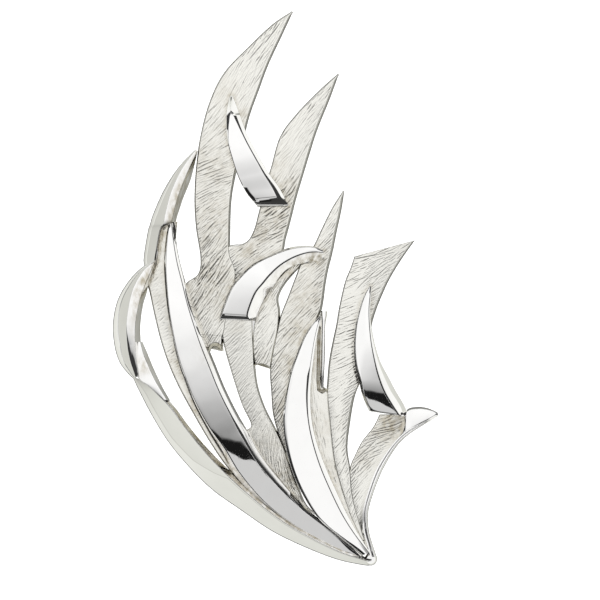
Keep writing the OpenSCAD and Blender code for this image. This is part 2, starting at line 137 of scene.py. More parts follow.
# Slot strip, the recess at the right of the short crest
STRIP_SLOT = (
    (40.2, 36.1, 40.85, 36.05), (39.7, 34.6, 40.6, 34.6), (39.1, 32, 40.5, 32), (38.6, 29.2, 40.4, 29.2),
    (38.35, 26.9, 40.3, 27), (38.25, 25.6, 41.1, 26), (38.2, 24, 41.35, 24.1), (38.5, 21, 41.8, 21),
    (39.3, 17.6, 42.2, 17.6), (40.7, 13.8, 43.1, 14.2), (42.6, 10.4, 44.3, 11), (45.3, 7, 45.9, 7.3),
)

# Tail leaf, at the lower right
LEAF_TAIL = (
    (47.45, 23.2, 50.7, 23.2), (46.6, 21.55, 50.6, 21.3), (45.3, 19.9, 49.5, 19.7),
    (44.4, 18.15, 48.3, 18.1), (43.75, 16.5, 47.2, 16.2), (43.7, 14.2, 46.5, 14.2), (44.1, 12, 45.9, 12),
    (44.6, 9.8, 45.8, 9.8), (45.3, 7.6, 46.1, 7.6), (46, 6, 46.6, 6),
)

# Crescent A, over plumes 1 and 2: from its tip down to its blunt end
CRESCENT_A = (
    (28.75, 63.05, 29.05, 63.05, 1.9, 0.05, 0.05), (28.5, 62, 29.42, 62.15, 2.25, 0.15, 0.3),
    (28.3, 60.6, 29.95, 60.75, 2.5, 0.25, 0.45), (28.4, 57.6, 30.9, 58.2, 2.95, 0.12, 0.42),
    (29, 55.2, 32.1, 55.9, 3.02, 0.1, 0.42), (29.85, 52.7, 33.5, 53.5, 2.82, 0.1, 0.42),
    (30.8, 50.9, 34.9, 51.55, 2.62, 0.18, 0.42), (31.75, 49.7, 35.85, 49.8, 2.5, 0.3, 0.42),
    (32.2, 49.15, 36.2, 49.2, 2.45, 0.34, 0.4),
)

# Crescent B, the hook over the leaves: from its blunt end round to its tip
CRESCENT_B = (
    (27.4, 35.1, 31.9, 34.9, 3, 0.25, 0.9), (27.7, 36.3, 32.25, 35.9, 3.05, 0.25, 1.2),
    (28.75, 38.9, 33.2, 38, 3.13, 0.25, 1.3), (30, 40.5, 34.2, 39.2, 3.15, 0.25, 1.3),
    (31.5, 41.9, 34.85, 40.25, 3.1, 0.25, 1.05), (33.5, 43, 35.85, 41.3, 2.9, 0.25, 0.9),
    (36, 44, 37.3, 41.95, 2.7, 0.25, 1), (38.1, 44.3, 38.75, 42.1, 2.45, 0.2, 1.3),
    (39.4, 44.12, 39.85, 42.25, 2.25, 0.12, 1.25), (40.4, 43.7, 40.55, 42.6, 2, 0.05, 0.8),
)

# Crescent C, over plume 4: from its tip down to its blunt end
CRESCENT_C = (
    (46.15, 39.25, 46.45, 39.2, 1.46, 0.05, 0.05), (45.4, 38, 46.4, 37.9, 1.86, 0.2, 0.12),
    (44.85, 36.4, 46.3, 36.4, 2.16, 0.25, 0.15), (44.4, 34.4, 46.4, 34.5, 2.4, 0.25, 0.2),
    (44.2, 31.8, 46.85, 32.1, 2.54, 0.25, 0.4), (44.35, 29.3, 47.6, 29.7, 2.54, 0.28, 0.65),
    (44.9, 27.2, 48.5, 28, 2.47, 0.3, 1.05), (45.25, 25.7, 49.45, 26.2, 2.33, 0.28, 1.3),
    (45.85, 24.2, 50.55, 24.3, 2.08, 0.25, 1.35), (46.15, 23.6, 51, 22.9, 1.9, 0.22, 1),
)

# Long crest: from its tip beside the upper rim down to the foot
CREST_LONG = (
    (21.15, 47.3, 22.2, 47.3, 1.75, 0.05, 0.75), (20.7, 45, 22.05, 45, 2.25, 0.2, 0.35),
    (20.5, 42, 22.5, 42.3, 2.65, 0.25, 0.35), (20.65, 39.1, 23.2, 39.7, 2.95, 0.25, 0.4),
    (20.95, 36.1, 24, 36.9, 3.1, 0.25, 0.5), (21.45, 33.2, 25, 34.1, 3.16, 0.25, 0.62),
    (22.05, 30.5, 25.9, 31.9, 3.16, 0.25, 0.75), (22.95, 27.7, 26.9, 29.5, 3.15, 0.28, 0.78),
    (24.2, 24.55, 28.1, 26.55, 3.09, 0.3, 0.78), (25.85, 21.4, 29.55, 23.6, 2.95, 0.35, 0.75),
    (27.6, 18.5, 31.05, 20.95, 2.76, 0.6, 0.7), (29.6, 15.3, 32.75, 17.9, 2.6, 0.6, 0.6),
    (32.9, 11.95, 35.45, 14.5, 2.48, 0.35, 0.45), (36.65, 9.2, 38.35, 11.45, 2.25, 0.25, 0.2),
    (40.4, 7.15, 41.7, 8.7, 1.95, 0.2, 0.12), (43.4, 5.75, 44.1, 6.65, 1.75, 0.12, 0.1),
    (45.3, 5.05, 45.6, 5.35, 1.6, 0.05, 0.05),
)

# Short crest: from its tip beside the slot down to the foot
CREST_SHORT = (
    (39.9, 35.5, 40.15, 35.4, 1.8, 0.05, 0.05), (38.8, 34.3, 39.85, 34, 2.3, 0.2, 0.2),
    (37.85, 32.7, 39.5, 32.2, 2.6, 0.22, 0.25), (36.95, 30.5, 39.2, 30, 2.8, 0.25, 0.3),
    (36.2, 28.3, 38.95, 27.9, 2.9, 0.25, 0.32), (35.65, 25.6, 38.8, 25.4, 2.95, 0.25, 0.35),
    (35.38, 22.6, 38.95, 22.7, 3, 0.25, 0.38), (35.65, 19.6, 39.5, 20, 3, 0.25, 0.42),
    (36.45, 16.3, 40.55, 17, 2.95, 0.25, 0.55), (37.75, 13.3, 41.85, 14, 2.85, 0.25, 0.6),
    (39.7, 10.3, 43.3, 10.9, 2.65, 0.22, 0.55), (42.2, 8, 44.7, 8.4, 2.45, 0.18, 0.4),
    (45.3, 5.6, 46.3, 5.9, 2.2, 0.08, 0.12),
)

# Slot ledge, the thin raised edge at the right of the slot strip, from its knob down
SLOT_LEDGE = (
    (40.12, 36.15, 40.9, 36.1, 1.15, 0.15, 0.15), (40.18, 35.5, 40.86, 35.45, 1.3, 0.12, 0.15),
    (40.24, 34.4, 40.68, 34.4, 1.32, 0.1, 0.1), (40.24, 32.2, 40.66, 32.2, 1.35, 0.08, 0.1),
    (40.2, 29.6, 40.58, 29.6, 1.35, 0.08, 0.08), (40.16, 28, 40.5, 28, 1.3, 0.06, 0.08),
    (40.14, 26.5, 40.44, 26.5, 1.1, 0.05, 0.06),
)

# Upper rim: its outer wall slopes down to the cloth, from plume 1 down to the side rim
RIM_UPPER = (
    (24.45, 56.35, 24.7, 56.1, 1.7, 0.05, 0.05), (22.3, 54.1, 23.9, 52.75, 2.3, 0.5, 0.75),
    (20.5, 51.3, 22.9, 50.2, 2.6, 0.95, 0.7), (19.15, 48.3, 22.2, 48.1, 2.6, 1.5, 0.55),
    (18.75, 47, 21.8, 47.1, 2.55, 1.7, 0.5), (18.45, 46, 20.35, 46.3, 2.35, 1.5, 0.2),
    (17.95, 42.8, 19.9, 43, 1.8, 1.4, 0.2), (18.05, 41.75, 19.75, 41.95, 1.5, 1.2, 0.2),
)

# Side rim, at the far left
RIM_SIDE = (
    (19.25, 42.45, 19.45, 42.25, 1.8, 0.1, 0.05), (17.5, 41.4, 18.8, 40.3, 2.5, 0.5, 0.3),
    (15.8, 39.5, 18.3, 38.3, 2.8, 1, 0.55), (14.6, 37.2, 17.85, 36.7, 2.95, 1.55, 0.55),
    (14.1, 34.4, 17.55, 34.3, 3, 1.7, 0.65), (14.3, 31.8, 17.6, 32, 3, 1.6, 0.7),
    (14.9, 29.8, 17.55, 30.1, 2.95, 1.35, 0.5), (15.9, 28.4, 17.6, 28.9, 2.88, 0.8, 0.35),
    (16.55, 27.75, 17.6, 28, 2.8, 0.4, 0.25),
)

# Spur that joins the side rim's inside to the lower rim
RIM_SPUR = (
    (17.2, 32.25, 17.8, 32.3, 2.1, 0.05, 0.25), (16.95, 30.6, 18.45, 30.8, 2.25, 0.05, 0.5),
    (17.1, 29, 19.1, 29.2, 2.38, 0.08, 0.5), (17.35, 27.6, 19.72, 27.85, 2.42, 0.1, 0.5),
    (18.5, 26.75, 20.4, 26.45, 2.42, 0.1, 0.48), (20.2, 25.1, 21.3, 24.9, 2.35, 0.1, 0.45),
)

# Lower rim: its broad outer face slopes down to the cloth, from the side rim to the foot
RIM_LOWER = (
    (16.45, 28.1, 17.9, 27.3, 2.2, 1.25, 0.3), (17.6, 25.7, 19.8, 26.1, 2.3, 1.75, 0.4),
    (19.05, 22.95, 21.7, 24.3, 2.3, 2.5, 0.4), (21, 19.8, 23.6, 21.75, 2.3, 2.8, 0.4),
    (23.5, 16.75, 25.9, 19, 2.3, 2.75, 0.45), (26.5, 13.8, 28.7, 16.2, 2.3, 2.6, 0.55),
    (30, 11.3, 31.9, 13.3, 2.3, 2.12, 0.56), (34, 8.6, 35.4, 10.5, 2.3, 1.72, 0.53),
    (38, 6.65, 39, 8.3, 2.2, 1.34, 0.48), (42, 5.1, 42.4, 6.6, 2.1, 1, 0.42),
    (45.4, 4.35, 45.6, 5.4, 2.1, 0.65, 0.32), (46.4, 4.33, 46.45, 5.2, 2, 0.6, 0.2),
)

# Fin, the smooth point at the right end of the right rim
FIN = (
    (54.72, 23.45, 54.8, 23.1, 1.75, 0.05, 0.1), (53.5, 23.98, 53.6, 22.25, 1.9, 0.2, 0.3),
    (52.2, 24.15, 52.2, 21.5, 2, 0.25, 0.35), (50.9, 23.8, 50.95, 20.7, 2.05, 0.25, 0.4),
    (50.7, 22.3, 50.45, 20.3, 2, 0.2, 0.35), (50.3, 20.9, 49.95, 19.9, 1.9, 0.1, 0.25),
)

# Right rim: its outer wall drops to the cloth, from the fin down to the foot
RIM_RIGHT = (
    (54.65, 23.3, 54.8, 23.05, 1.4, 0.05, 0.05), (52.8, 22.3, 53.05, 21.95, 1.8, 0.08, 0.2),
    (50.6, 21, 51, 20.6, 2, 0.08, 0.25), (48.85, 19.2, 49.45, 19, 2, 0.1, 0.3),
    (47.1, 16.5, 47.85, 16.3, 1.9, 0.1, 0.35), (46, 13.6, 46.72, 13.5, 1.9, 0.1, 0.35),
    (45.35, 11, 46.05, 11, 1.9, 0.1, 0.4), (45.4, 8.8, 46.1, 8.8, 1.9, 0.1, 0.4),
    (45.9, 6.9, 46.6, 6.9, 1.9, 0.1, 0.35), (46.3, 5.4, 47.1, 5.4, 1.9, 0.1, 0.3),
)

# For each plate: its share of the plate thickness, its seed, how dense, deep and short its cuts are, and the
# way that they run, as (x, y, degrees above the horizontal). Some have an arched end, a wall at their end
# (width, depth), an end that sinks (reach, depth), a groove, or a part across them that smooths out.
# Lean of the walls and crown are one number or (row, value) pairs, and before the first row and after the
# last one given they stay as there. Stains, of which some are painted shade, and strong cuts are
# (x, y, radius, share), and bare places are (x, y, radius).
PLATES = {
    "plume_1": dict(
        rows=PLUME_1, share=1, seed=11, dense=1.25,
        cuts=((35.5, 72.5, 55), (32.5, 68.5, 56), (30, 65, 58), (28, 62, 56), (30.3, 60, 60),
            (26.3, 59, 48), (26.5, 56, 34), (26.6, 53.5, 23), (26.6, 51, 27), (26.6, 49, 34),
            (26.6, 47, 42), (26.6, 44.5, 52), (27, 41, 55), (26, 38, 58), (26, 34.5, 60)), arch=0.9,
        end_wall=(0.8, 0.7), strong=((26.6, 41, 3.5, 0.8), (24.8, 37.4, 2, 0.8)),
        # The first three stains, on both sides of crescent A's tip, are tan painted shade.
        stains_and_shade=((28, 63.6, 1.8, 0.35), (30.6, 60.8, 0.9, 0.6), (28, 59, 1.2, 0.45), (24.6, 37.2, 1.6, 0.4),
            (26.6, 54, 3.5, 0.5), (26.6, 47, 4.5, 0.6), (26.4, 40, 4, 0.65))),
    "plume_2": dict(
        rows=PLUME_2, share=0.93, seed=12, sink=(3, 0.5), dense=1.3, strong=((35, 48.4, 3, 1.1),),
        cuts=((41.5, 65, 53), (39.5, 62, 52), (37.5, 59, 50), (36.5, 56, 50), (35.8, 53.5, 55),
            (35.4, 51, 50), (34.6, 48, 33), (34, 46, 32), (33, 44, 36), (31, 42.5, 40), (29, 41.5, 44)),
        stains_and_shade=((34.6, 54.6, 1.6, 0.5), (35.6, 51.2, 2.2, 0.65), (34.5, 48, 2.6, 0.8), (32.6, 46, 1.8, 0.9),
            (31, 43.6, 1.6, 1))),
    "plume_3": dict(
        rows=PLUME_3, share=0.93, seed=13, dense=1.15,
        cuts=((42.5, 50, 60), (41, 47.5, 48), (40, 45, 42), (39, 42, 38), (38, 39.5, 38), (37.8, 37, 42),
            (37, 34, 48), (36, 31, 52), (35.4, 28, 56), (35.2, 25, 60), (35.3, 22, 62), (36, 19.5, 64)),
        stains_and_shade=((39.4, 42.6, 1.8, 0.7), (38.4, 37.6, 2.6, 0.75), (37.2, 33.6, 1.8, 0.9),
            (36.2, 29.6, 1.6, 0.9), (35.2, 24, 1.6, 0.7))),
    "plume_4": dict(
        rows=PLUME_4, share=1, seed=14, dense=1, deep=0.6,
        strong=((48.2, 42.2, 2.6, 0.7), (45.2, 41.2, 2.6, 0.9), (43.8, 33, 4.5, 0.9)),
        crown=((0, 1), (6, 0.8), (9, 0.6), (11, 0.5), (16, 0.25)), bare=((45.8, 8, 2.6),),
        lean_left=((0, 0.07), (4, 0.1), (6, 0.16), (9, 0.16), (10, 0.07)),
        lean_right=((6, 0.2), (7, 0.05), (8.4, 0.05), (9, 0.2), (10, 0.2), (12, 0.06)),
        cuts=((45, 42.8, 18), (48, 43.4, 22), (51, 44.4, 34), (45, 41, 22), (48, 41.6, 34),
            (49.8, 42.4, 46), (44.5, 38.5, 20), (47, 39.5, 42), (44, 35, 20), (43.3, 32, 18),
            (43.5, 30, 22), (42.7, 27, 32), (42.5, 24, 38), (42.5, 21, 46), (42.7, 17, 56),
            (43.5, 13.5, 62), (44.4, 10, 64)), stains_and_shade=((42.9, 22, 1.2, 0.2),)),
    "leaf_left": dict(
        rows=LEAF_LEFT, share=0.85, seed=15, dense=1.3, deep=0.55, crown=((0, 0.6), (2, 0.15), (9, 0.1)),
        cuts=((29.5, 34, 42), (30, 31, 46), (30.7, 28, 50), (31.5, 25.5, 54), (32.6, 22.5, 60),
            (33.6, 19.5, 80), (35.2, 16.5, 100), (37.3, 12.8, 118)),
        stains_and_shade=((29.6, 34.4, 1.2, 0.4), (33.6, 19.6, 2, 0.45), (36, 15.4, 2.8, 0.8),
            (31.1, 21.6, 0.35, 0.9))),
    "leaf_middle": dict(
        rows=LEAF_MIDDLE, share=0.75, seed=16, arch=0.25, end_wall=(0.15, 0.4), dense=1.2,
        # The bare place leaves a smooth patch under crescent B's right bevel, and the last stain darkens it
        # there: a painted shadow and reflection.
        lean_right=((0, 0.1), (2, 0.2)), bare=((36.2, 40.6, 0.9),),
        cuts=((36, 41.5, 50), (35, 40, 52), (33.8, 38, 55), (33.5, 35, 55), (33.2, 32, 58),
            (32.8, 29.5, 60)), stains_and_shade=((33.6, 38, 1.4, 0.45), (33, 30.2, 1.2, 0.3), (36.3, 40.6, 0.9, 1.3))),
    "left_strip": dict(
        rows=STRIP_LEFT, share=0.7, seed=17, short=0.25, dense=1.1, deep=0.5, smooth=(0.45, 0.8),
        crown=((0, 0.8), (4, 0), (6, -0.8)), bare=((27.5, 19.5, 4), (23.6, 26.2, 2.4)),
        cuts=((20.7, 46, 70), (20.3, 43, 60), (20, 41, 50), (20, 38.5, 45), (20.6, 35.5, 45),
            (21.4, 32, 42), (22.3, 29, 40), (23.5, 26.5, 38), (25, 23.5, 36), (26.6, 20.5, 35),
            (28.3, 18.3, 35)),
        stains_and_shade=((20.6, 46.2, 1.3, 0.7), (19.1, 41, 1, 0.7), (19.8, 37.6, 1, 0.4), (22.2, 29.2, 1.8, 0.8),
            (24.6, 24, 1.8, 0.8), (29.6, 16, 2, 0.4))),
    "slot_strip": dict(
        rows=STRIP_SLOT, share=0.65, seed=18, short=0.6, dense=0.7, deep=0.4,
        crown=((0, 1), (4, 0.4), (9, 0.2)), lean_right=((7, 0.2), (8, 0.05)),
        cuts=((40.3, 35.5, 80), (39.8, 33, 82), (39.4, 30, 88), (39.3, 27, 92), (39.7, 24.5, 95),
            (40, 21, 98), (40.7, 17.5, 105), (41.9, 14, 112), (43.4, 10.8, 118), (45.4, 7.3, 122)),
        # The groove is cut into the plate, and make_plate also darkens it with painted shadow.
        groove=((39.9, 34), (39.85, 32), (39.8, 29.5), (39.75, 27.5), (39.85, 26.3), (40.3, 26),
            (40.8, 26.4), (41, 27.2)),
        stains_and_shade=((39.2, 30.5, 2.6, 0.4), (39.8, 21.5, 2.4, 0.5), (41, 15.5, 2.8, 0.55))),
    "tail_leaf": dict(
        rows=LEAF_TAIL, share=0.8, seed=19, dense=0.95, deep=0.5, crown=((0, 0.2), (2, -0.3), (9, -0.6)),
        bare=((46.2, 7, 4.5), (49.6, 22.7, 0.9)), lean_right=0.03, strong=((45.6, 18.6, 1.8, 1.2),),
        cuts=((49, 23, 30), (48.5, 21.8, 15), (47.7, 20.5, 14), (46.8, 19.5, 28), (47.5, 18.6, 22),
            (45.8, 17.5, 42), (45.3, 15.5, 48), (45, 13, 55), (45.1, 10.5, 60), (45.7, 7.8, 65)),
        stains_and_shade=((49.6, 22.4, 2, 2.4), (48, 21.2, 1.8, 0.9), (45.6, 17.8, 1.6, 0.5))),
}

# For each polished blade, as one number or (row, value) pairs: how wide the rounding or the dark facet is
# beside the left and right slope, how steep the slopes are, how wide the steep wall at the right is, how
# stained the bevel is, and how far the face falls towards its last row and leans to its right, in degrees.
# A blunt end has bevels of (width, slope), with its own ones at the right where it needs them.
RIDGES = {
    "crescent_a": dict(
        rows=CRESCENT_A, wide=((1.7, 1), (2.05, 0)),
        round_left=((0, 0.1), (2.5, 0.12), (3.2, 0.07), (8, 0.1)),
        dark_left=((1.7, 0), (1.75, 0.2), (2.1, 0.18), (2.5, 0.1), (3, 0.05), (3.4, 0)),
        dark_right=((1.7, 0), (1.75, 0.4), (2.1, 0.36), (2.5, 0.24), (3, 0.14), (4.5, 0.14), (5.2, 0.24),
            (6, 0.42), (7, 0.6), (8, 0.7)), steep_left=((2.5, 0.92), (3.2, 1.8), (5, 1.8), (5.8, 0.6)),
        fall=((2, 0), (2.5, 3.5), (3, 4.1), (3.5, 2.5), (4, 1.5), (4.5, 0.2), (6, 0.1), (6.5, 1.3),
            (7, 3.2), (8, 3.4)), blunt_end=((0.22, 1), (0.5, 0.56)),
        blunt_end_right=((0.15, 1), (1.15, 0.56))),
    "crescent_b": dict(
        rows=CRESCENT_B, round_left=((0, 0.12), (3, 0.08), (8, 0.06)),
        dark_right=((0, 0.19), (3, 0.23), (6, 0.17), (9, 0.07)), blunt_start=((0.1, 1.1), (0.45, 0.6)),
        bevel_stain=((0, 0.1), (3, 0.25), (5, 0.5), (9, 1)),
        stains_and_shade=((36.4, 42, 1, 0.2), (39.2, 42.7, 0.6, 0.9), (40.4, 42.8, 0.5, 1.2))),
    "crescent_c": dict(
        rows=CRESCENT_C, round_left=((0, 0.08), (5, 0.1), (7, 0.06), (9, 0.05)),
        dark_right=((0, 0.07), (4, 0.09), (5.5, 0.17), (9, 0.27)), lean=((0, 0), (4, 1.5), (6, 3)),
        wall_right=((0, 0.05), (4, 0.15), (5, 0.28), (6, 0.5), (7, 0.62), (9, 0.5)), wall_slope=1.6,
        steep_left=1.8, blunt_end=((0.12, 1.1),)),
    "long_crest": dict(
        rows=CREST_LONG, soft=0.8, round_left=((8, 0.08), (10, 0.16), (12, 0.08)),
        dark_right=((0, 0.08), (5, 0.1), (8, 0.13), (9, 0.16), (9.8, 0.32), (13, 0.32), (14, 0.2),
            (15, 0.25), (16, 0.15)),
        wall_right=((0, 0.04), (2.5, 0.05), (3.5, 0.2), (5, 0.26), (9.3, 0.28), (10, 0.05), (16, 0.03)),
        tip=0.4, wall_slope=5, stains_and_shade=((26.6, 31, 1.6, 0.5),), steep_right=((12.3, 0.9), (13, 3)),
        lean=((9.7, 0), (10.2, -0.7), (10.6, -1.8), (11, -2.4), (12.5, -3), (13.5, -7), (14.5, -9),
            (16, -12)),
        fall=((9.75, -0.3), (10.2, 1.1), (10.55, 1.3), (10.95, 2.9), (11.9, 2.4), (12.6, 0), (13.5, -1.5))),
    "short_crest": dict(
        rows=CREST_SHORT, round_left=((0, 0.08), (6, 0.1), (8, 0.24), (10, 0.18), (12, 0.06)),
        dark_right=((3.4, 0.05), (4, 0.25), (5, 0.2), (6, 0.12), (12, 0.1)),
        steep_left=((5, 1.8), (6, 0.62), (10, 0.62), (12, 1.8)),
        lean=((3, 0), (5, 1.5), (10, 1.5), (12, 0)), fall=((8, 0), (9, -1.5), (10, -2.5))),
    "rim_spur": dict(
        rows=RIM_SPUR, round_left=0.06, round_right=0.1, tip=0.25, steep_right=3, fall=-2,
        stains_and_shade=((17.9, 29.4, 1.1, 0.7),)),
    "slot_ledge": dict(
        rows=SLOT_LEDGE, round_left=0.05, round_right=0.05, steep_right=2, tip=0.3),
    "fin": dict(
        rows=FIN, round_left=0.04, dark_right=((0, 0.2), (1, 0.14), (5, 0.1)), steep_left=5, fall=3,
        lean=-3, blunt_end=((0.35, 0.62),)),
}

# For each rim, as one number or (row, value) pairs: how wide its outer facet is, how steep its face and the
# facet (skirt) are, how wide a bevel runs along its ridge, how steep its inside is (tan) and how stained,
# then how deep and soft the line beside the facet is and how steep the inner slope is.
RIMS = {
    "upper_rim": dict(
        rows=RIM_UPPER, outer=((0, 0.05), (1, 0.15), (3, 0.45), (6, 0.35)), face=2, skirt=1.3, groove=0.05,
        bevel=0, soft=0.03, inner=3.4, inner_stain=((0, 0.6), (3, 0.8), (7, 1))),
    "side_rim": dict(
        rows=RIM_SIDE, outer=((0, 0.05), (2, 0.4), (5, 0.7), (8, 0.2)), face=((0, 2), (8, 1.9)), skirt=1.15,
        groove=0, bevel=((3.9, 0), (4.4, 0.1), (5, 0.28), (6, 0.42), (7, 0.35), (8, 0.15)), soft=0.4,
        inner=3.4, inner_stain=((0, 1), (2.5, 0.9), (4, 0.2))),
    "lower_rim": dict(
        rows=RIM_LOWER,
        outer=((0, 0.35), (1, 0.6), (3, 0.65), (4, 0.95), (4.7, 1.7), (5.4, 2.7), (6, 2.3), (11, 0.5)),
        face=1.5, skirt=((4, 1.15), (5, 1.35)), groove=0.3, bevel=((0, 0.02), (1, 0.06)), soft=0.03,
        inner=2, tan=((2, 0), (3, 1.8)), inner_stain=((0, 0.2), (2, 0.5), (4, 0.9), (9, 1), (11, 0.5))),
}

# The right rim: how far its inner edge lies below its top, where below zero is above it, and its section as
# (share of the width, drop under the top).
RIGHT_RIM = dict(
    rows=RIM_RIGHT, lip=((5.6, 0.03), (6.8, -0.02), (9, -0.03)),
    profile=((0.26, 0), (0.36, 0.045), (0.46, 0), (0.74, 0), (0.92, 0.22), (1, 0.6)))


def number_prop(name, description, default):
    return FloatProperty(name=name, description=description, default=default)


def length_prop(name, description, default):
    return FloatProperty(name=name, description=description, default=default, unit="LENGTH", precision=6)


def colour_prop(name, description, default):
    return FloatVectorProperty(name=name, description=description, default=default, subtype="COLOR",
                               size=3, min=0, max=1)


class BroochCasting(bpy.types.PropertyGroup):
    """Sizes of the casting"""
    dome_height: length_prop("Dome height", "Height of the hollow back above the cloth", 0.0034)
    plate_thickness: length_prop("Plate thickness", "Thickness of a textured plate at its edges", 0.0011)
    plate_crown: length_prop("Plate crown", "Extra thickness of a textured plate along its middle", 0.00014)
    face_crown: length_prop("Face crown", "Extra height along the middle of a polished face", 0.000015)
    plate_step: length_prop("Plate mesh step", "Distance between the mesh points of a plate", 0.000067)
    ridge_step: length_prop("Ridge mesh step", "Distance between the mesh sections of a blade", 0.00013)


class BroochCuts(bpy.types.PropertyGroup):
    """The cut strokes of the textured plates"""
    depth: length_prop("Depth", "Depth of the deepest cuts", 0.00005)
    half_width: length_prop("Half width", "Half the width of a broad cut", 0.000062)
    length: length_prop("Length", "Length of a broad cut", 0.0026)
    broad_per_mm2: number_prop("Broad cuts", "Broad cuts on each square millimetre", 0.9)
    fine_per_mm2: number_prop("Fine cuts", "Fine cuts on each square millimetre", 3.6)
    seed: IntProperty(name="Seed", description="Start of the random cuts", default=5)


class BroochFinish(bpy.types.PropertyGroup):
    """Colours of the finishes"""
    polished: colour_prop("Polished silver", "Colour of the polished blades", (0.95, 0.945, 0.935))
    cut: colour_prop("Cut silver", "Colour of the textured plates", (0.87, 0.86, 0.81))
    # The tarnish colour also serves as painted shade at some listed places and in the slot strip's groove.
    tarnish_and_shade: colour_prop("Tarnish", "Colour of the silver in the recesses", (0.53, 0.485, 0.39))
    line: colour_prop("Cut bottoms", "Colour at the bottom of the cuts", (0.20, 0.185, 0.155))
    plating: colour_prop("Magnet plating", "Colour of the magnet bar", (0.62, 0.63, 0.65))


class BroochStage(bpy.types.PropertyGroup):
    """The paper, the lights and the view"""
    view_width: length_prop("View width", "Width of the view", 0.075)
    sky: number_prop("Tent light", "Strength of the light tent", 1.25)
    lamp: number_prop("Lamp strength", "Strength of the lamp that whitens the paper from above", 4.0)
    paper: colour_prop("Paper", "Colour of the paper", (0.93, 0.93, 0.93))


def casting():
    return bpy.context.scene.brooch_casting


# Shapes

# The dome's middle on the drawing, and how far from it the back has fallen by one millimetre
DOME_MIDDLE = (33, 36)
DOME_REACH = (12.5, 24)
# How far from a blunt end its bevels may reach, and the steps and smoothing that they are worked out in
END_REACH = 3.0
END_STEP = 0.01
END_SMOOTH = 5
# Farthest distance between two points that the seam merges, in metres
SEAM = 2e-8
# How flat the very end of a rounded tip is, and a length too short to divide by
TIP_FLAT = 0.02
TINY = 1e-9


def run_rows(rows, step):
    """A table's rows with more on a smooth curve through them, and each one's place in the table."""
    rows = np.array(rows, float)
    last = len(rows) - 1
    fine, marks = [], []
    for i in range(last):
        a, b, c, d = (rows[min(max(i + k, 0), last)] for k in (-1, 0, 1, 2))
        travel = max(np.linalg.norm(c[0:2] - b[0:2]), np.linalg.norm(c[2:4] - b[2:4]))
        count = max(1, math.ceil(travel / step))
        for t in np.arange(count) / count:
            fine.append(b + t * ((c - a) / 2 + t * (a - 2.5 * b + 2 * c - 0.5 * d
                                                    + t * (1.5 * (b - c) + (d - a) / 2))))
            marks.append(i + t)
    fine.append(rows[last])
    marks.append(last)
    return np.array(fine), np.array(marks)


def edges_of(rows):
    """The left and right edge of each section, its width and its way from left to right."""
    left, right = rows[:, 0:2], rows[:, 2:4]
    width = np.linalg.norm(right - left, axis=1)
    return left, right, width, (right - left) / width[:, None]


def dome(spot):
    """Height of the casting's back above the cloth at drawing places, in millimetres."""
    fall_x = ((spot[..., 0] - DOME_MIDDLE[0]) / DOME_REACH[0]) ** 2
    fall_y = ((spot[..., 1] - DOME_MIDDLE[1]) / DOME_REACH[1]) ** 2
    return casting().dome_height / MM - fall_x - fall_y


def on_dome(spot):
    """Drawing places with the dome's height added to each."""
    return np.concatenate([spot, dome(spot)[..., None]], axis=-1)


def lengths(rows):
    """Distance of each section from the first, along the middle of the blade."""
    middle = (rows[:, 0:2] + rows[:, 2:4]) / 2
    return np.concatenate([[0], np.cumsum(np.linalg.norm(np.diff(middle, axis=0), axis=1))])


def along(marks, spec, key, usual=0):
    """A value at each section, where the piece gives one number or (row, value) pairs."""
    pairs = spec.get(key, usual)
    if not isinstance(pairs, tuple):
        return np.full(len(marks), float(pairs))
    places, values = zip(*pairs)
    return np.interp(marks, places, values)


def end_drop(distance, facets):
    """How far a face has dropped at a distance from its end, over bevels given as (width, slope) pairs."""
    places = np.arange(0, END_REACH, END_STEP)
    slope = np.zeros(len(places))
    start = 0.0
    for width, steep in facets:
        slope[(places >= start) & (places < start + width)] = steep
        start += width
    count = 2 * END_SMOOTH + 1
    slope = np.convolve(np.pad(slope, END_SMOOTH, mode="edge"), np.ones(count) / count, mode="valid")
    drop = np.cumsum(slope[::-1])[::-1] * END_STEP
    return np.interp(distance, places, drop)


def round_edge(distance, radius):
    """How far a quarter-round edge lies under the face at a distance from the edge."""
    inside = np.clip(1 - distance / np.maximum(radius, TINY), 0, 1)
    return radius * (1 - np.sqrt(np.clip(1 - inside ** 2, 0, 1)))


def in_model(x, y, z):
    """Drawing places and heights in millimetres as points of the model, in metres."""
    return np.stack([(x - DATUM[0]) * MM, (y - DATUM[1]) * MM, z * MM], axis=-1)


def round_tip(rows, radius):
    """The sections, with the first ones widened to a round tip."""
    run = lengths(rows)
    near = np.clip(1 - run / radius, 0, 1)
    least = np.where(run < radius, 2 * radius * np.sqrt(np.clip(1 - near ** 2, TIP_FLAT, 1)), 0)
    left, right, width, _ = edges_of(rows)
    grow = (np.maximum(width, least) / width)[:, None]
    middle = (left + right) / 2
    return np.concatenate([middle + (left - middle) * grow, middle + (right - middle) * grow, rows[:, 4:]],
                          axis=1)


def deselect():
    bpy.ops.object.select_all(action="DESELECT")


def face_outward():
    """Turns every face of the mesh in edit mode outwards, and leaves edit mode."""
    bpy.ops.mesh.select_all(action="SELECT")
    bpy.ops.mesh.normals_make_consistent(inside=False)
    bpy.ops.object.mode_set(mode="OBJECT")


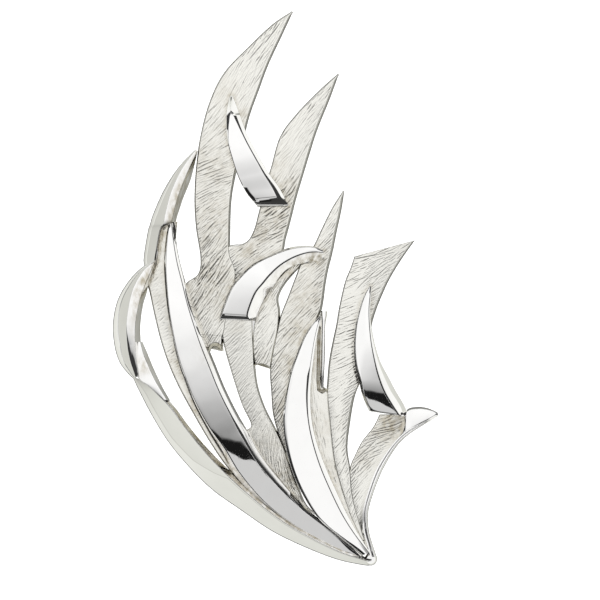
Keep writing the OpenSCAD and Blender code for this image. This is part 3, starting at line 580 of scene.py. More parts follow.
def wrap(name, sections, marks):
    """A grid wrapped round a row of closed sections: its seam is merged and its two ends are filled."""
    deselect()
    stations, points = sections.shape[:2]
    bpy.ops.mesh.primitive_grid_add(x_subdivisions=points, y_subdivisions=stations - 1, size=1)
    piece = bpy.context.object
    piece.name = name
    mesh = piece.data
    mesh.name = name
    closed = np.concatenate([sections, sections[:, :1]], axis=1)
    mesh.vertices.foreach_set("co", closed.astype(np.float32).ravel())
    for key, values in marks.items():
        whole = np.concatenate([values, values[:, :1]], axis=1)
        attribute = mesh.attributes.new(key, "FLOAT", "POINT")
        attribute.data.foreach_set("value", whole.astype(np.float32).ravel())
    while mesh.uv_layers:
        mesh.uv_layers.remove(mesh.uv_layers[0])
    bpy.ops.object.mode_set(mode="EDIT")
    bpy.ops.mesh.select_all(action="SELECT")
    bpy.ops.mesh.remove_doubles(threshold=SEAM)
    bpy.ops.mesh.select_all(action="SELECT")
    bpy.ops.mesh.fill_holes(sides=0)
    face_outward()
    return piece


def settle(piece, material, node="silver_body", angle=40):
    """Shading and finish of a piece; hangs it under the root body and hides the CAD part named by node."""
    deselect()
    piece.select_set(True)
    bpy.context.view_layer.objects.active = piece
    bpy.ops.object.shade_smooth_by_angle(angle=math.radians(angle))
    piece.data.materials.clear()
    piece.data.materials.append(material)
    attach(piece, "root")
    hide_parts(node)


# Textured plates

# How far the walls of a plate lean in, at its left and its right, and at most as shares of its width
WALL_LEAN = (0.07, 0.20)
MOST_LEAN = (0.2, 0.3)
# How round a plate's edges are, at most as shares of its width near its tip and near its end
EDGE_ROUND = 0.11
MOST_ROUND = (0.3, 0.1)
# Where the mesh points lie across a rounded edge
EDGE_POINTS = np.array([0.0, 0.13, 0.4, 1.0])
LEAST_POINTS = 6
BACK_POINTS = 3
ARCH_POINTS = 9
ARCH_REACH = 2
TIP_ROUND = 0.16
# The width at which a plate has its whole crown
CROWN_WIDTH = 3
# Where the cuts begin and are whole, from a plate's left and right edge
BORDER_LEFT = (0.04, 0.16)
BORDER_RIGHT = (0.10, 0.26)
# Fine cuts against broad ones: their width, depth and length
FINE_WIDTH, FINE_DEPTH, FINE_LENGTH = 0.85, 0.6, 0.65
# How far the cuts stray: the heading of broad and of fine ones and the bend, in degrees, and the length
BROAD_STRAY, FINE_STRAY, BEND_STRAY, LENGTH_STRAY = 5, 6, 4, 0.45
# Least and added width and depth of a cut, as shares
CUT_WIDTHS = (0.7, 0.6)
CUT_DEPTHS = (0.35, 0.65)
# How much deeper the cuts are at a listed stain, and at listed painted shade
LISTED_DEEPER = 0.4
# How deep a cut is at its start, between its three parts and at its end
CUT_FADES = (0.15, 0.9, 1.0, 0.25)
SPOT_TRIES = 6
# Distance within which the nearest given way of the cuts decides
WAY_REACH = 0.4
# Half width and depth of the slot strip's groove, and how far it is looked for
GROOVE = (0.2, 0.2)
GROOVE_REACH = 0.4
# How stained a plate is beside a polished blade, and within what distance
BESIDE_STAIN = (0.5, 0.35)
EDGE_SPACING = 0.4
# Share of a listed stain and of listed painted shade that shows, how stained a plate is on its walls and how
# dark the painted shadow in its groove is
STAIN_AND_SHADE_SHARE = 0.8
WALL_STAIN = 0.15
GROOVE_PAINTED_SHADOW = 0.15


def plate_outline(spec):
    """The plate's sections before they are cut, and the distance of each point on top from the left edge,
    from the right edge and from the end."""
    sizes = casting()
    step = sizes.plate_step / MM
    rows, marks = run_rows(spec["rows"], step)
    rows = round_tip(rows, TIP_ROUND)
    left, right, width, across = edges_of(rows)
    run = lengths(rows)
    to_end = run[-1] - run
    lean_l = np.minimum(along(marks, spec, "lean_left", WALL_LEAN[0]), MOST_LEAN[0] * width)
    lean_r = np.minimum(along(marks, spec, "lean_right", WALL_LEAN[1]), MOST_LEAN[1] * width)
    top_w = width - lean_l - lean_r
    edge = np.minimum(EDGE_ROUND, np.where(run < run[-1] / 2, *MOST_ROUND) * top_w)
    inner = max(LEAST_POINTS, int(np.max(top_w) / step))
    share = np.linspace(0, 1, inner + 1)[1:-1]
    rounded = EDGE_POINTS * edge[:, None]
    flat = edge[:, None] + share * (top_w - 2 * edge)[:, None]
    place = np.concatenate([rounded, flat, top_w[:, None] - rounded[:, ::-1]], axis=1)
    rise = np.full(len(rows), sizes.plate_thickness / MM * spec["share"])
    rise -= round_edge(run, EDGE_ROUND) + round_edge(to_end, EDGE_ROUND)
    if "sink" in spec:
        reach, depth = spec["sink"]
        rise -= depth * np.clip(1 - to_end / reach, 0, 1) ** 2
    if "end_wall" in spec:
        reach, depth = spec["end_wall"]
        rise -= depth * np.clip(1 - to_end / reach, 0, None)
    spot = left[:, None, :] + across[:, None, :] * (lean_l[:, None] + place)[:, :, None]
    bulge = 1 - (2 * (place / top_w[:, None]) - 1) ** 2
    arch = spec.get("arch", 0) * np.clip(1 - to_end / ARCH_REACH, 0, 1)
    inward = np.stack([-across[:, 1], across[:, 0]], axis=1) * arch[:, None]
    spot += inward[:, None, :] * bulge[:, :, None]
    crown = sizes.plate_crown / MM * np.minimum(1, width / CROWN_WIDTH) * along(marks, spec, "crown", 1)
    z = dome(spot) + rise[:, None] + crown[:, None] * bulge
    z -= round_edge(place, edge[:, None]) + round_edge(top_w[:, None] - place, edge[:, None])
    top = np.concatenate([spot, z[..., None]], axis=2)
    back = [on_dome(right + (left - right) * t + inward * (1 - (2 * t - 1) ** 2))
            for t in np.linspace(0, 1, ARCH_POINTS if "arch" in spec else BACK_POINTS)]
    wall_r = (top[:, -1] + on_dome(right)) / 2
    wall_l = (top[:, 0] + on_dome(left)) / 2
    points = np.concatenate([top, np.stack([wall_r, *back, wall_l], axis=1)], axis=1)
    return points, place, top_w[:, None] - place, to_end


class CutField:
    """Cells over a plate that hold how deep the strokes have cut it."""

    # Edge of a cell, space round the plate and reach of the mean in cells
    CELL = 0.04
    MARGIN = 0.5
    AROUND = 4

    def __init__(self, low, high):
        self.low = np.array(low) - self.MARGIN
        size = np.ceil((np.array(high) + self.MARGIN - self.low) / self.CELL).astype(int) + 1
        self.depth = np.zeros(size, np.float32)

    def stroke(self, start, end, half_width, depth, fade_start, fade_end):
        """One straight cut with a rounded bottom; its depth fades to a share at each end."""
        low = np.floor((np.minimum(start, end) - half_width - self.low) / self.CELL).astype(int)
        high = np.ceil((np.maximum(start, end) + half_width - self.low) / self.CELL).astype(int) + 1
        low = np.clip(low, 0, self.depth.shape)
        high = np.clip(high, 0, self.depth.shape)
        if np.any(high <= low):
            return
        x = self.low[0] + np.arange(low[0], high[0])[:, None] * self.CELL
        y = self.low[1] + np.arange(low[1], high[1])[None, :] * self.CELL
        run = end - start
        length = max(float(np.hypot(*run)), TINY)
        ux, uy = run / length
        t = np.clip(((x - start[0]) * ux + (y - start[1]) * uy) / length, 0, 1)
        gap = (x - start[0] - t * run[0]) ** 2 + (y - start[1] - t * run[1]) ** 2
        profile = np.clip(1 - gap / half_width ** 2, 0, 1)
        found = depth * (fade_start + (fade_end - fade_start) * t) * profile
        window = self.depth[low[0]:high[0], low[1]:high[1]]
        np.maximum(window, found, out=window)

    def around(self, spot):
        """Mean depth close to a place."""
        i, j = ((spot - self.low) / self.CELL).astype(int)
        near = self.AROUND
        return self.depth[max(i - near, 0):i + near + 1, max(j - near, 0):j + near + 1].mean()

    def at(self, x, y):
        """Depth at places on the drawing."""
        fx = (x - self.low[0]) / self.CELL
        fy = (y - self.low[1]) / self.CELL
        ix = np.clip(fx.astype(int), 0, self.depth.shape[0] - 2)
        iy = np.clip(fy.astype(int), 0, self.depth.shape[1] - 2)
        tx, ty = fx - ix, fy - iy
        d = self.depth
        return (d[ix, iy] * (1 - tx) * (1 - ty) + d[ix + 1, iy] * tx * (1 - ty)
                + d[ix, iy + 1] * (1 - tx) * ty + d[ix + 1, iy + 1] * tx * ty)


def cut_angle(spec, place):
    """Way that the cuts run at a place, in radians above the horizontal."""
    table = np.array(spec["cuts"], float)
    gap = (table[:, 0] - place[0]) ** 2 + (table[:, 1] - place[1]) ** 2
    weight = 1 / (gap + WAY_REACH) ** 2
    return math.radians(float(np.sum(table[:, 2] * weight) / np.sum(weight)))


def listed_share_at(spec, x, y, key="stains_and_shade"):
    """How dark a place is from the piece's list of places, some of them tarnished with wear and some painted
    shade, or how strong its cuts are.
    """
    found = np.zeros(np.shape(x))
    for sx, sy, reach, share in spec.get(key, ()):
        found = np.maximum(found, share * np.exp(-((x - sx) ** 2 + (y - sy) ** 2) / reach ** 2))
    return found


def pointing(angle):
    return np.array([math.cos(angle), math.sin(angle)])


def cut_strokes(spec, top):
    """All the strokes of one plate: broad ones, then fine ones between them."""
    cuts = bpy.context.scene.brooch_cuts
    chance = np.random.default_rng(cuts.seed * 100 + spec["seed"])
    flat = top[..., :2].reshape(-1, 2)
    field = CutField(flat.min(axis=0), flat.max(axis=0))
    rows = np.array(spec["rows"], float)
    widths = edges_of(rows)[2]
    area = float(np.sum((widths[1:] + widths[:-1]) / 2 * np.diff(lengths(rows))))
    shares = run_share(top)
    short = spec.get("short", 1)
    kinds = (
        (cuts.broad_per_mm2, cuts.half_width / MM, cuts.depth / MM, cuts.length / MM * short, BROAD_STRAY),
        (cuts.fine_per_mm2, cuts.half_width / MM * FINE_WIDTH, cuts.depth / MM * FINE_DEPTH,
         cuts.length / MM * FINE_LENGTH * short, FINE_STRAY))
    for density, half_width, depth, length, stray in kinds:
        for _ in range(int(area * density * spec["dense"])):
            spot = clear_spot(top, shares, field, chance)
            heading = cut_angle(spec, spot) + math.radians(chance.normal(0, stray))
            bend = math.radians(chance.normal(0, BEND_STRAY))
            reach = length * math.exp(chance.normal(0, LENGTH_STRAY))
            wide = half_width * (CUT_WIDTHS[0] + CUT_WIDTHS[1] * chance.random())
            deep = depth * spec.get("deep", 1) * (CUT_DEPTHS[0] + CUT_DEPTHS[1] * chance.random())
            listed_deeper = LISTED_DEEPER * float(listed_share_at(spec, *spot))
            deep *= 1 + listed_deeper + float(listed_share_at(spec, *spot, key="strong"))
            here = spot - pointing(heading) * reach / 2
            for part in range(3):
                there = here + pointing(heading + bend * (part - 1)) * reach / 3
                field.stroke(here, there, wide, deep, CUT_FADES[part], CUT_FADES[part + 1])
                here = there
    return field


def groove_depth(spec, x, y):
    """How deep the plate's one long groove is at places on the drawing."""
    if "groove" not in spec:
        return np.zeros(x.shape)
    line = np.array(spec["groove"], float)
    low, high = line.min(axis=0), line.max(axis=0)
    field = CutField(low, high)
    for start, end in zip(line, line[1:]):
        field.stroke(start, end, *GROOVE, 1, 1)
    outside = (x < low[0] - GROOVE_REACH) | (x > high[0] + GROOVE_REACH)
    outside |= (y < low[1] - GROOVE_REACH) | (y > high[1] + GROOVE_REACH)
    return np.where(outside, 0, field.at(x, y))


def clear_spot(top, shares, field, chance):
    """Of a few places on the plate, the one that is cut least so far."""
    best, least = None, math.inf
    for _ in range(SPOT_TRIES):
        station = int(np.searchsorted(shares, chance.random()))
        spot = top[min(station, top.shape[0] - 1), int(chance.random() * top.shape[1]), :2]
        found = float(field.around(spot))
        if found < least:
            best, least = spot, found
    return best


def run_share(top):
    """Share of the plate's area up to each station, so that strokes are spread evenly."""
    total = np.cumsum(np.linalg.norm(top[:, -1, :2] - top[:, 0, :2], axis=1))
    return total / total[-1]


def polished_edges():
    """Places along the outlines of the polished blades, to find the recesses beside them."""
    places = []
    for spec in RIDGES.values():
        rows, _ = run_rows(spec["rows"], EDGE_SPACING)
        places += [*rows[:, 0:2], *rows[:, 2:4]]
    for spec in RIMS.values():
        rows, _ = run_rows(spec["rows"], EDGE_SPACING)
        places += [*rows[:, 2:4]]
    tree = KDTree(len(places))
    for number, place in enumerate(places):
        tree.insert((place[0], place[1], 0), number)
    tree.balance()
    return tree


def make_plate(name, spec, edges):
    """A textured plate with its strokes cut into its top, stained beside the polished blades, and with
    painted shade at some listed places and in its groove.
    """
    points, to_left, to_right, to_end = plate_outline(spec)
    top_count = to_left.shape[1]
    top = points[:, :top_count]
    x, y = top[..., 0], top[..., 1]
    depth = cut_strokes(spec, top).at(x, y)
    for gap, (start, whole) in ((to_left, BORDER_LEFT), (to_right, BORDER_RIGHT)):
        depth *= np.clip((gap - start) / (whole - start), 0, 1)
    if "smooth" in spec:
        first, last = spec["smooth"]
        depth *= np.clip((last - to_left / (to_left + to_right)) / (last - first), 0, 1)
    for px, py, reach in spec.get("bare", ()):
        depth *= 1 - np.exp(-((x - px) ** 2 + (y - py) ** 2) / reach ** 2)
    top[..., 2] -= depth
    groove = groove_depth(spec, x, y)
    top[..., 2] -= groove
    near = np.array([edges.find((a, b, 0))[2] for a, b in zip(x.ravel(), y.ravel())]).reshape(x.shape)
    # Tarnish beside the blades, plus the listed stains, some of which are painted shade. Below, the groove is
    # darkened with painted shadow, both here and through the cut depth, and the end wall is stained.
    stain_and_shade = BESIDE_STAIN[0] * np.exp(-(near / BESIDE_STAIN[1]) ** 2) + STAIN_AND_SHADE_SHARE * listed_share_at(spec, x, y)
    on_wall = to_end < spec.get("end_wall", (0, 0))[0]
    stain_and_shade += groove / GROOVE[1] + STAIN_AND_SHADE_SHARE * on_wall[:, None]
    marks = {"cut_depth": np.zeros(points.shape[:2]), "stain_and_shade": np.full(points.shape[:2], WALL_STAIN)}
    marks["cut_depth"][:, :top_count] = depth + GROOVE_PAINTED_SHADOW * groove
    marks["stain_and_shade"][:, :top_count] = np.clip(stain_and_shade, 0, 1)
    return wrap(name, in_model(points[..., 0], points[..., 1], points[..., 2]), marks)


# Polished blades and rims

# How far above the dome the walls of a blade begin, how far below it those of a rim end, and how tall a
# wall is at least
LET_IN = 0.3
RIM_LIP = 0.25
LEAST_WALL = 0.1
# Share of the width that a blade's two slopes take up at most, and where the blade is given as wide
SLOPE_SHARE = 0.85
WIDE_SHARE = 0.97
# Points round a corner, and across a polished face
ROUND_STEPS = 6
FACE_STEPS = 8
# Share of a side of the section that the rounding of a corner takes up at most
CORNER_SHARE = 0.45
# Drop of a blade's left and right slope, for each millimetre and at least
STEEP_LEFT, STEEP_RIGHT = 1.8, 0.9
LEAST_DROP = (0.05, 0.1)
# Shares of the face that its dark facets take up at most, and of the right slope that its wall does
MOST_DARK = (0.35, 0.6)
MOST_WALL = 0.5
# What the facets leave of a face, the least width of one, the least width that a lean is worked out
# over, and what is left of a slope at a blunt end
FACE_SPARE, LEAST_FACE, LEAST_SPAN, LEAST_SLOPE = 0.01, 0.002, 0.05, 0.02
# Distance over which the stain of a bevel begins
BEVEL_FADE = 0.04
# Slope of the facet that shows dark beside a face, and of the wall below the right bevel
DARK_SLOPE = 0.62
WALL_SLOPE = 4.0
# Rounding of a facet's corners and of the corners of the walls, and the least step between two corners
FACET_ROUND = 0.02
WALL_ROUND = 0.05
FOOT_ROUND = 0.04
STEP = 0.02
# A rim's bevel: its slope and least width
BEVEL_SLOPE = 0.6
LEAST_BEVEL = 0.015
# Share of the outer slope that a rim's facet takes up at most, and least height of its foot
OUTER_SHARE = 0.92
LEAST_FOOT = 0.45
# How far a rim's outer wall leans in and how wide the line beside its facet is, each in millimetres and
# at most as a share of the facet
RIM_LEAN = (0.08, 0.3)
LINE_WIDTH = (0.05, 0.2)
# Least drop of a rim's inner slope, and how quickly its stain begins
LEAST_INNER = 0.3
INSIDE_FADE = 3


def rounded_line(corners, radii, face):
    """Points of a section, whose corners (offset, height) are rounded. The segment after corner number
    face is the polished face: it gets more points and a slight crown."""
    line = [corners[0]]
    for i in range(1, len(corners) - 1):
        to_before, to_after = corners[i - 1] - corners[i], corners[i + 1] - corners[i]
        long_before = np.linalg.norm(to_before, axis=1)
        long_after = np.linalg.norm(to_after, axis=1)
        reach = np.minimum(radii[i], np.minimum(long_before, long_after) * CORNER_SHARE)
        start = corners[i] + to_before * (reach / np.maximum(long_before, TINY))[:, None]
        end = corners[i] + to_after * (reach / np.maximum(long_after, TINY))[:, None]
        for t in np.linspace(0, 1, ROUND_STEPS + 1):
            line.append((1 - t) ** 2 * start + 2 * t * (1 - t) * corners[i] + t ** 2 * end)
        if i == face:
            face_start = len(line)
    line.append(corners[-1])
    first, after = line[face_start - 1], line[face_start]
    crown = casting().face_crown / MM
    extra = []
    for t in np.linspace(0, 1, FACE_STEPS + 1)[1:-1]:
        spot = first + (after - first) * t
        spot[:, 1] += crown * 4 * t * (1 - t)
        extra.append(spot)
    return line[:face_start] + extra + line[face_start:]


def stand_up(rows, line):
    """A section line (offset from the left edge, height) in the model, closed along its back, and its
    places on the drawing."""
    left, _, _, across = edges_of(rows)
    back = [line[-1] + (line[0] - line[-1]) * t for t in (0.25, 0.5, 0.75)]
    whole = np.stack([*line, *back], axis=1)
    spot = left[:, None, :] + across[:, None, :] * whole[..., 0:1]
    return in_model(spot[..., 0], spot[..., 1], whole[..., 1]), spot[..., 0], spot[..., 1]


def slope_along(run, marks, spec, key):
    """A blade's slope at each section, from its angles in degrees. On a soft blade they change gently."""
    angle = along(marks, spec, key)
    if "soft" in spec:
        weight = np.clip(1 - np.abs(run[:, None] - run[None, :]) / spec["soft"], 0, None)
        angle = weight @ angle / weight.sum(axis=1)
    return np.tan(np.radians(angle))


def end_clips(run, spec):
    """How far the left and the right of a blade's face are cut down near its blunt ends."""
    clip_l, clip_r = np.zeros(len(run)), np.zeros(len(run))
    if "blunt_start" in spec:
        clip_l += end_drop(run, spec["blunt_start"])
        clip_r += clip_l
    if "blunt_end" in spec:
        clip_l += end_drop(run[-1] - run, spec["blunt_end"])
        clip_r += end_drop(run[-1] - run, spec.get("blunt_end_right", spec["blunt_end"]))
    return clip_l, clip_r


def make_ridge(name, spec):
    """A polished blade: a crowned face between two slopes, whose walls stand in the plates."""
    rows, marks = run_rows(spec["rows"], casting().ridge_step / MM)
    if "tip" in spec:
        rows = round_tip(rows, spec["tip"])
    left, right, width, across = edges_of(rows)
    run = lengths(rows)
    slopes = rows[:, 5] + rows[:, 6]
    fit = np.minimum(1, SLOPE_SHARE * width / slopes)
    wide = along(marks, spec, "wide")
    fit = fit * (1 - wide) + wide * WIDE_SHARE * width / slopes
    slope_l, slope_r = rows[:, 5] * fit, rows[:, 6] * fit
    fall = slope_along(run, marks, spec, "fall")
    sunk = np.concatenate([[0], np.cumsum((fall[1:] + fall[:-1]) / 2 * np.diff(run))])
    rise = rows[:, 4] - sunk
    clip_l, clip_r = end_clips(run, spec)
    tilt = slope_along(run, marks, spec, "lean") * width / 2
    face_w = width - slope_l - slope_r
    free = np.maximum(face_w - FACE_SPARE, LEAST_FACE)
    dark_l = np.minimum(along(marks, spec, "dark_left"), MOST_DARK[0] * free)
    dark_r = np.minimum(along(marks, spec, "dark_right"), MOST_DARK[1] * free)
    wall = np.minimum(along(marks, spec, "wall_right"), MOST_WALL * slope_r)
    top_l = dome(left + across * slope_l[:, None]) + rise + tilt
    top_r = dome(right - across * slope_r[:, None]) + rise - tilt
    drop_l = np.maximum(LEAST_DROP[0], slope_l * along(marks, spec, "steep_left", STEEP_LEFT))
    drop_r = np.maximum(LEAST_DROP[1], slope_r * along(marks, spec, "steep_right", STEEP_RIGHT))
    back_l, back_r = dome(left) + LET_IN, dome(right) + LET_IN
    wall_l = np.maximum(np.minimum(top_l - drop_l, top_l - clip_l - STEP), back_l + LEAST_WALL)
    lean = (top_l - top_r) / np.maximum(face_w, LEAST_SPAN)
    slope_l = slope_l * np.clip(1 - clip_l / drop_l, LEAST_SLOPE, 1)
    bevel_r = slope_r * np.clip(1 - clip_r / drop_r, LEAST_SLOPE, 1)
    edge_l = top_l - lean * dark_l - clip_l - dark_l * DARK_SLOPE
    edge_r = top_r + lean * dark_r - clip_r - dark_r * DARK_SLOPE
    wall_r = np.minimum(edge_r - drop_r * (1 - wall / slope_r), edge_r - STEP)
    wall_r = np.maximum(wall_r, back_r + 2 * LEAST_WALL)
    side_r = np.maximum(wall_r - wall * spec.get("wall_slope", WALL_SLOPE), back_r + LEAST_WALL)
    zero = np.zeros(len(rows))
    corners = [(zero, back_l, 0), (zero, np.minimum(wall_l, edge_l - STEP), WALL_ROUND)]
    if "dark_left" in spec:
        corners.append((slope_l, edge_l, FACET_ROUND))
        corners.append((slope_l + dark_l, top_l - lean * dark_l - clip_l, FACET_ROUND))
    else:
        corners.append((slope_l, top_l - clip_l, along(marks, spec, "round_left")))
    face = len(corners) - 1
    if "dark_right" in spec:
        corners.append((width - bevel_r - dark_r, top_r + lean * dark_r - clip_r, FACET_ROUND))
        corners.append((width - bevel_r, edge_r, FACET_ROUND))
    else:
        corners.append((width - bevel_r, top_r - clip_r, along(marks, spec, "round_right")))
    corners.append((width - wall * bevel_r / slope_r, wall_r, WALL_ROUND))
    if "wall_right" in spec:
        corners.append((width, side_r, FOOT_ROUND))
    corners.append((width, back_r, 0))
    places = [np.stack([zero + offset, height], axis=1) for offset, height, _ in corners]
    line = rounded_line(places, [zero + radius for _, _, radius in corners], face)
    sections, x, y = stand_up(rows, line)
    stain_and_shade = listed_share_at(spec, x, y)
    if "bevel_stain" in spec:
        offset = np.stack([spot[:, 0] for spot in line], axis=1) - (width - bevel_r)[:, None]
        on_bevel = np.clip(offset / BEVEL_FADE, 0, 1)
        stain_and_shade[:, :len(line)] += on_bevel * along(marks, spec, "bevel_stain")[:, None]
    return wrap(name, sections, {"stain_and_shade": stain_and_shade})


def make_rim(name, spec):
    """A rim whose outer face and facet slope down to the cloth, with a polished face on its inside."""
    rows, marks = run_rows(spec["rows"], casting().ridge_step / MM)
    left, right, width, across = edges_of(rows)
    bevel = np.maximum(along(marks, spec, "bevel"), LEAST_BEVEL)
    fit = np.minimum(1, (WIDE_SHARE * width - bevel) / (rows[:, 5] + rows[:, 6]))
    slope_l, slope_r = rows[:, 5] * fit, rows[:, 6] * fit
    top_l = dome(left + across * slope_l[:, None]) + rows[:, 4]
    top_r = dome(right - across * slope_r[:, None]) + rows[:, 4]
    if "tan" in spec:
        top_r = top_l - (width - slope_l - slope_r - bevel) * along(marks, spec, "tan")
    ridge = top_l - bevel * BEVEL_SLOPE
    outer = np.minimum(along(marks, spec, "outer"), OUTER_SHARE * slope_l)
    lean = np.minimum(RIM_LEAN[0], RIM_LEAN[1] * outer)
    step = np.minimum(LINE_WIDTH[0], LINE_WIDTH[1] * outer)
    shoulder = ridge - (slope_l - outer - step) * along(marks, spec, "face")
    foot = shoulder - spec["groove"] - outer * along(marks, spec, "skirt")
    ease = np.minimum(1, (ridge - LEAST_FOOT) / (ridge - foot))
    shoulder = ridge - (ridge - shoulder) * ease
    foot = ridge - (ridge - foot) * ease
    zero = np.zeros(len(rows))
    back_r = np.maximum(dome(right) - RIM_LIP, 0)
    wall_r = np.maximum(top_r - np.maximum(LEAST_INNER, slope_r * spec["inner"]), back_r + LEAST_WALL)
    # Offset, height and rounding of each corner
    corners = (
        (zero, zero, 0), (lean, foot, 0.03), (outer, shoulder - spec["groove"] * ease, spec["soft"]),
        (outer + step, shoulder, spec["soft"]), (slope_l, ridge, 0.04), (slope_l + bevel, top_l, 0.03),
        (width - slope_r, top_r, 0.08), (width, wall_r, 0.06), (width, back_r, 0))
    places = [np.stack([offset, height], axis=1) for offset, height, _ in corners]
    line = rounded_line(places, [zero + radius for _, _, radius in corners], 5)
    sections, _, _ = stand_up(rows, line)
    inside = [np.clip((spot[:, 0] - slope_l - bevel) / (width - slope_l - bevel), 0, 1) for spot in line]
    stain_and_shade = np.zeros(sections.shape[:2])
    on_inside = np.clip(INSIDE_FADE * np.stack(inside, axis=1), 0, 1)
    stain_and_shade[:, :len(line)] = on_inside * along(marks, spec, "inner_stain")[:, None]
    return wrap(name, sections, {"stain_and_shade": stain_and_shade})


def make_right_rim(name, spec):
    """The rim at the right: a bright lip, a dark line and a bright band whose outer side falls away."""
    rows, marks = run_rows(spec["rows"], casting().ridge_step / MM)
    left, _, width, _ = edges_of(rows)
    top = dome(left) + rows[:, 4]
    back_l = np.maximum(dome(left) - RIM_LIP, 0)
    least = back_l + LEAST_WALL
    corners = [(width * 0, back_l), (width * 0, np.maximum(top - along(marks, spec, "lip"), least))]
    corners += [(width * share, np.maximum(top - drop, least)) for share, drop in spec["profile"]]
    corners.append((width, width * 0))
    corners = [np.stack(pair, axis=1) for pair in corners]
    radii = [0] + [width * 0 + FACET_ROUND] * (len(corners) - 2) + [0]
    sections, x, _ = stand_up(rows, rounded_line(corners, radii, 4))
    return wrap(name, sections, {"stain_and_shade": x * 0})


# Foot, seat and magnet

NUB_MIDDLE = (46.35, 5.1)
NUB_RADIUS = 0.8
NUB_SIDES = 48
# Radius and height of the nub's edges, from its foot up
NUB_STEPS = ((0.8, 1.6), (0.7, 2.1), (0.5, 2.3))
BAR_WIDTH = 8.0
BAR_SIDES = 96
# Distance within which a point counts as on the bar's middle line, in metres
ON_LINE = 1e-7
# In metres: the glue between the magnet and its seat, how far the seat stands into the casting, and how
# round the edges of the seat and the magnet are
GLUE_GAP = 0.00005
SEAT_LET_IN = 0.0005
SEAT_ROUND = 0.0001
MAGNET_ROUND = 0.0003


def select_level_edges(piece, heights, near):
    """Selects the edges that lie level at one of the heights, and nothing else."""
    mesh = piece.data
    for group in (mesh.vertices, mesh.edges, mesh.polygons):
        group.foreach_set("select", [False] * len(group))
    for edge in mesh.edges:
        ends = [mesh.vertices[i].co.z for i in edge.vertices]
        edge.select = any(max(abs(z - height) for z in ends) < near for height in heights)


def edit(piece, mode):
    """Enters edit mode with edges, faces or vertices as what is selected."""
    bpy.context.view_layer.objects.active = piece
    bpy.ops.object.mode_set(mode="EDIT")
    bpy.ops.mesh.select_mode(type=mode)


def add_disc(name, sides, radius, place):
    """A flat disc, selected all over, with its place in its mesh."""
    deselect()
    bpy.ops.mesh.primitive_circle_add(vertices=sides, radius=radius, fill_type="NGON", location=place)
    piece = bpy.context.object
    piece.name = name
    bpy.ops.object.transform_apply(location=True, rotation=True, scale=True)
    return piece


def make_nub():
    """The rounded point at the foot: a disc drawn up, and smaller at each step."""
    x, y, _ = in_model(*NUB_MIDDLE, 0)
    piece = add_disc("foot_nub", NUB_SIDES, NUB_RADIUS * MM, (x, y, 0))
    edit(piece, "FACE")
    radius, height = NUB_RADIUS, 0.0
    for next_radius, next_height in NUB_STEPS:
        lift = (0, 0, (next_height - height) * MM)
        bpy.ops.mesh.extrude_region_move(TRANSFORM_OT_translate={"value": lift})
        share = next_radius / radius
        bpy.ops.transform.resize(value=(share, share, 1), center_override=(x, y, next_height * MM))
        radius, height = next_radius, next_height
    face_outward()
    return piece


def make_bar(name, low, high, length, rounding):
    """A bar with round ends that runs along Y, its edges rounded."""
    piece = add_disc(name, BAR_SIDES, BAR_WIDTH / 2 * MM, (0, 0, low))
    shift = (length - BAR_WIDTH * MM) / 2
    for side in (1, -1):
        for vertex in piece.data.vertices:
            y = vertex.co.y
            vertex.select = y * side > ON_LINE or (side == 1 and abs(y) <= ON_LINE)
        for group in (piece.data.edges, piece.data.polygons):
            group.foreach_set("select", [False] * len(group))
        edit(piece, "VERT")
        bpy.ops.transform.translate(value=(0, shift * side, 0))
        bpy.ops.object.mode_set(mode="OBJECT")
    edit(piece, "FACE")
    bpy.ops.mesh.select_all(action="SELECT")
    bpy.ops.mesh.extrude_region_move(TRANSFORM_OT_translate={"value": (0, 0, high - low)})
    face_outward()
    select_level_edges(piece, (low, high), (high - low) * 0.01)
    edit(piece, "EDGE")
    bpy.ops.mesh.bevel(offset=rounding, segments=5, profile=0.5, affect="EDGES")
    bpy.ops.object.mode_set(mode="OBJECT")
    return piece


# Finishes

# Least and most roughness of each finish, and how much rougher stained silver is
MIRROR_ROUGH = (0.025, 0.06)
CUT_ROUGH = (0.11, 0.18)
NICKEL_ROUGH = (0.22, 0.38)
STAIN_ROUGH = 0.2
PAPER_ROUGH = 0.9
# Depth of a cut, in millimetres, where it begins to darken and is darkest, and how dark it gets
CUT_DEPTH = (0.008, 0.055)
CUT_DARK = (0, 0.75)
# The darkest clouds of the polish, the plating and the paper, as shares of their colour
POLISH_CLOUD, PLATING_CLOUD, PAPER_CLOUD = 0.975, 0.9, 0.98
# Part of the noise that is used, which evens it out
MIDDLE = (0.3, 0.7)
# Noise of the finishes: features in a metre, and detail
POLISH_CLOUDS, POLISH_SPOTS, POLISH_MARKS, POLISH_WAVES = (500, 3), (1600, 4), (2500, 4), (350, 1)
CUT_CLOUDS, CUT_GRAIN, CUT_PORES = (1400, 4), (5000, 3), (7000, 2)
PLATING_CLOUDS, PLATING_MARKS, PAPER_GRAIN = (700, 3), (3000, 3), (600, 3)
# Range of the noise in the tarnish of the polish and of the cut silver, and how strong it is there
POLISH_TARNISH = ((0.35, 0.65), (0.15, 1.2))
CUT_TARNISH = ((0.35, 0.7), (0.25, 1.15))
# Range of the noise that roughens the polish
ROUGH_MARKS = (0.45, 0.75)
# Fine relief of the finishes: strength, and height in metres
POLISH_RELIEF, CUT_RELIEF, PLATING_RELIEF = (0.06, 0.00012), (0.2, 0.00001), (0.15, 0.00001)
# Direction of the handling marks, in degrees
MARKS_TURN = 35


def feed(tree, socket, value):
    """Gives an input a number or a colour, or links another node's output to it."""
    if isinstance(value, bpy.types.NodeSocket):
        tree.links.new(value, socket)
    else:
        socket.default_value = value


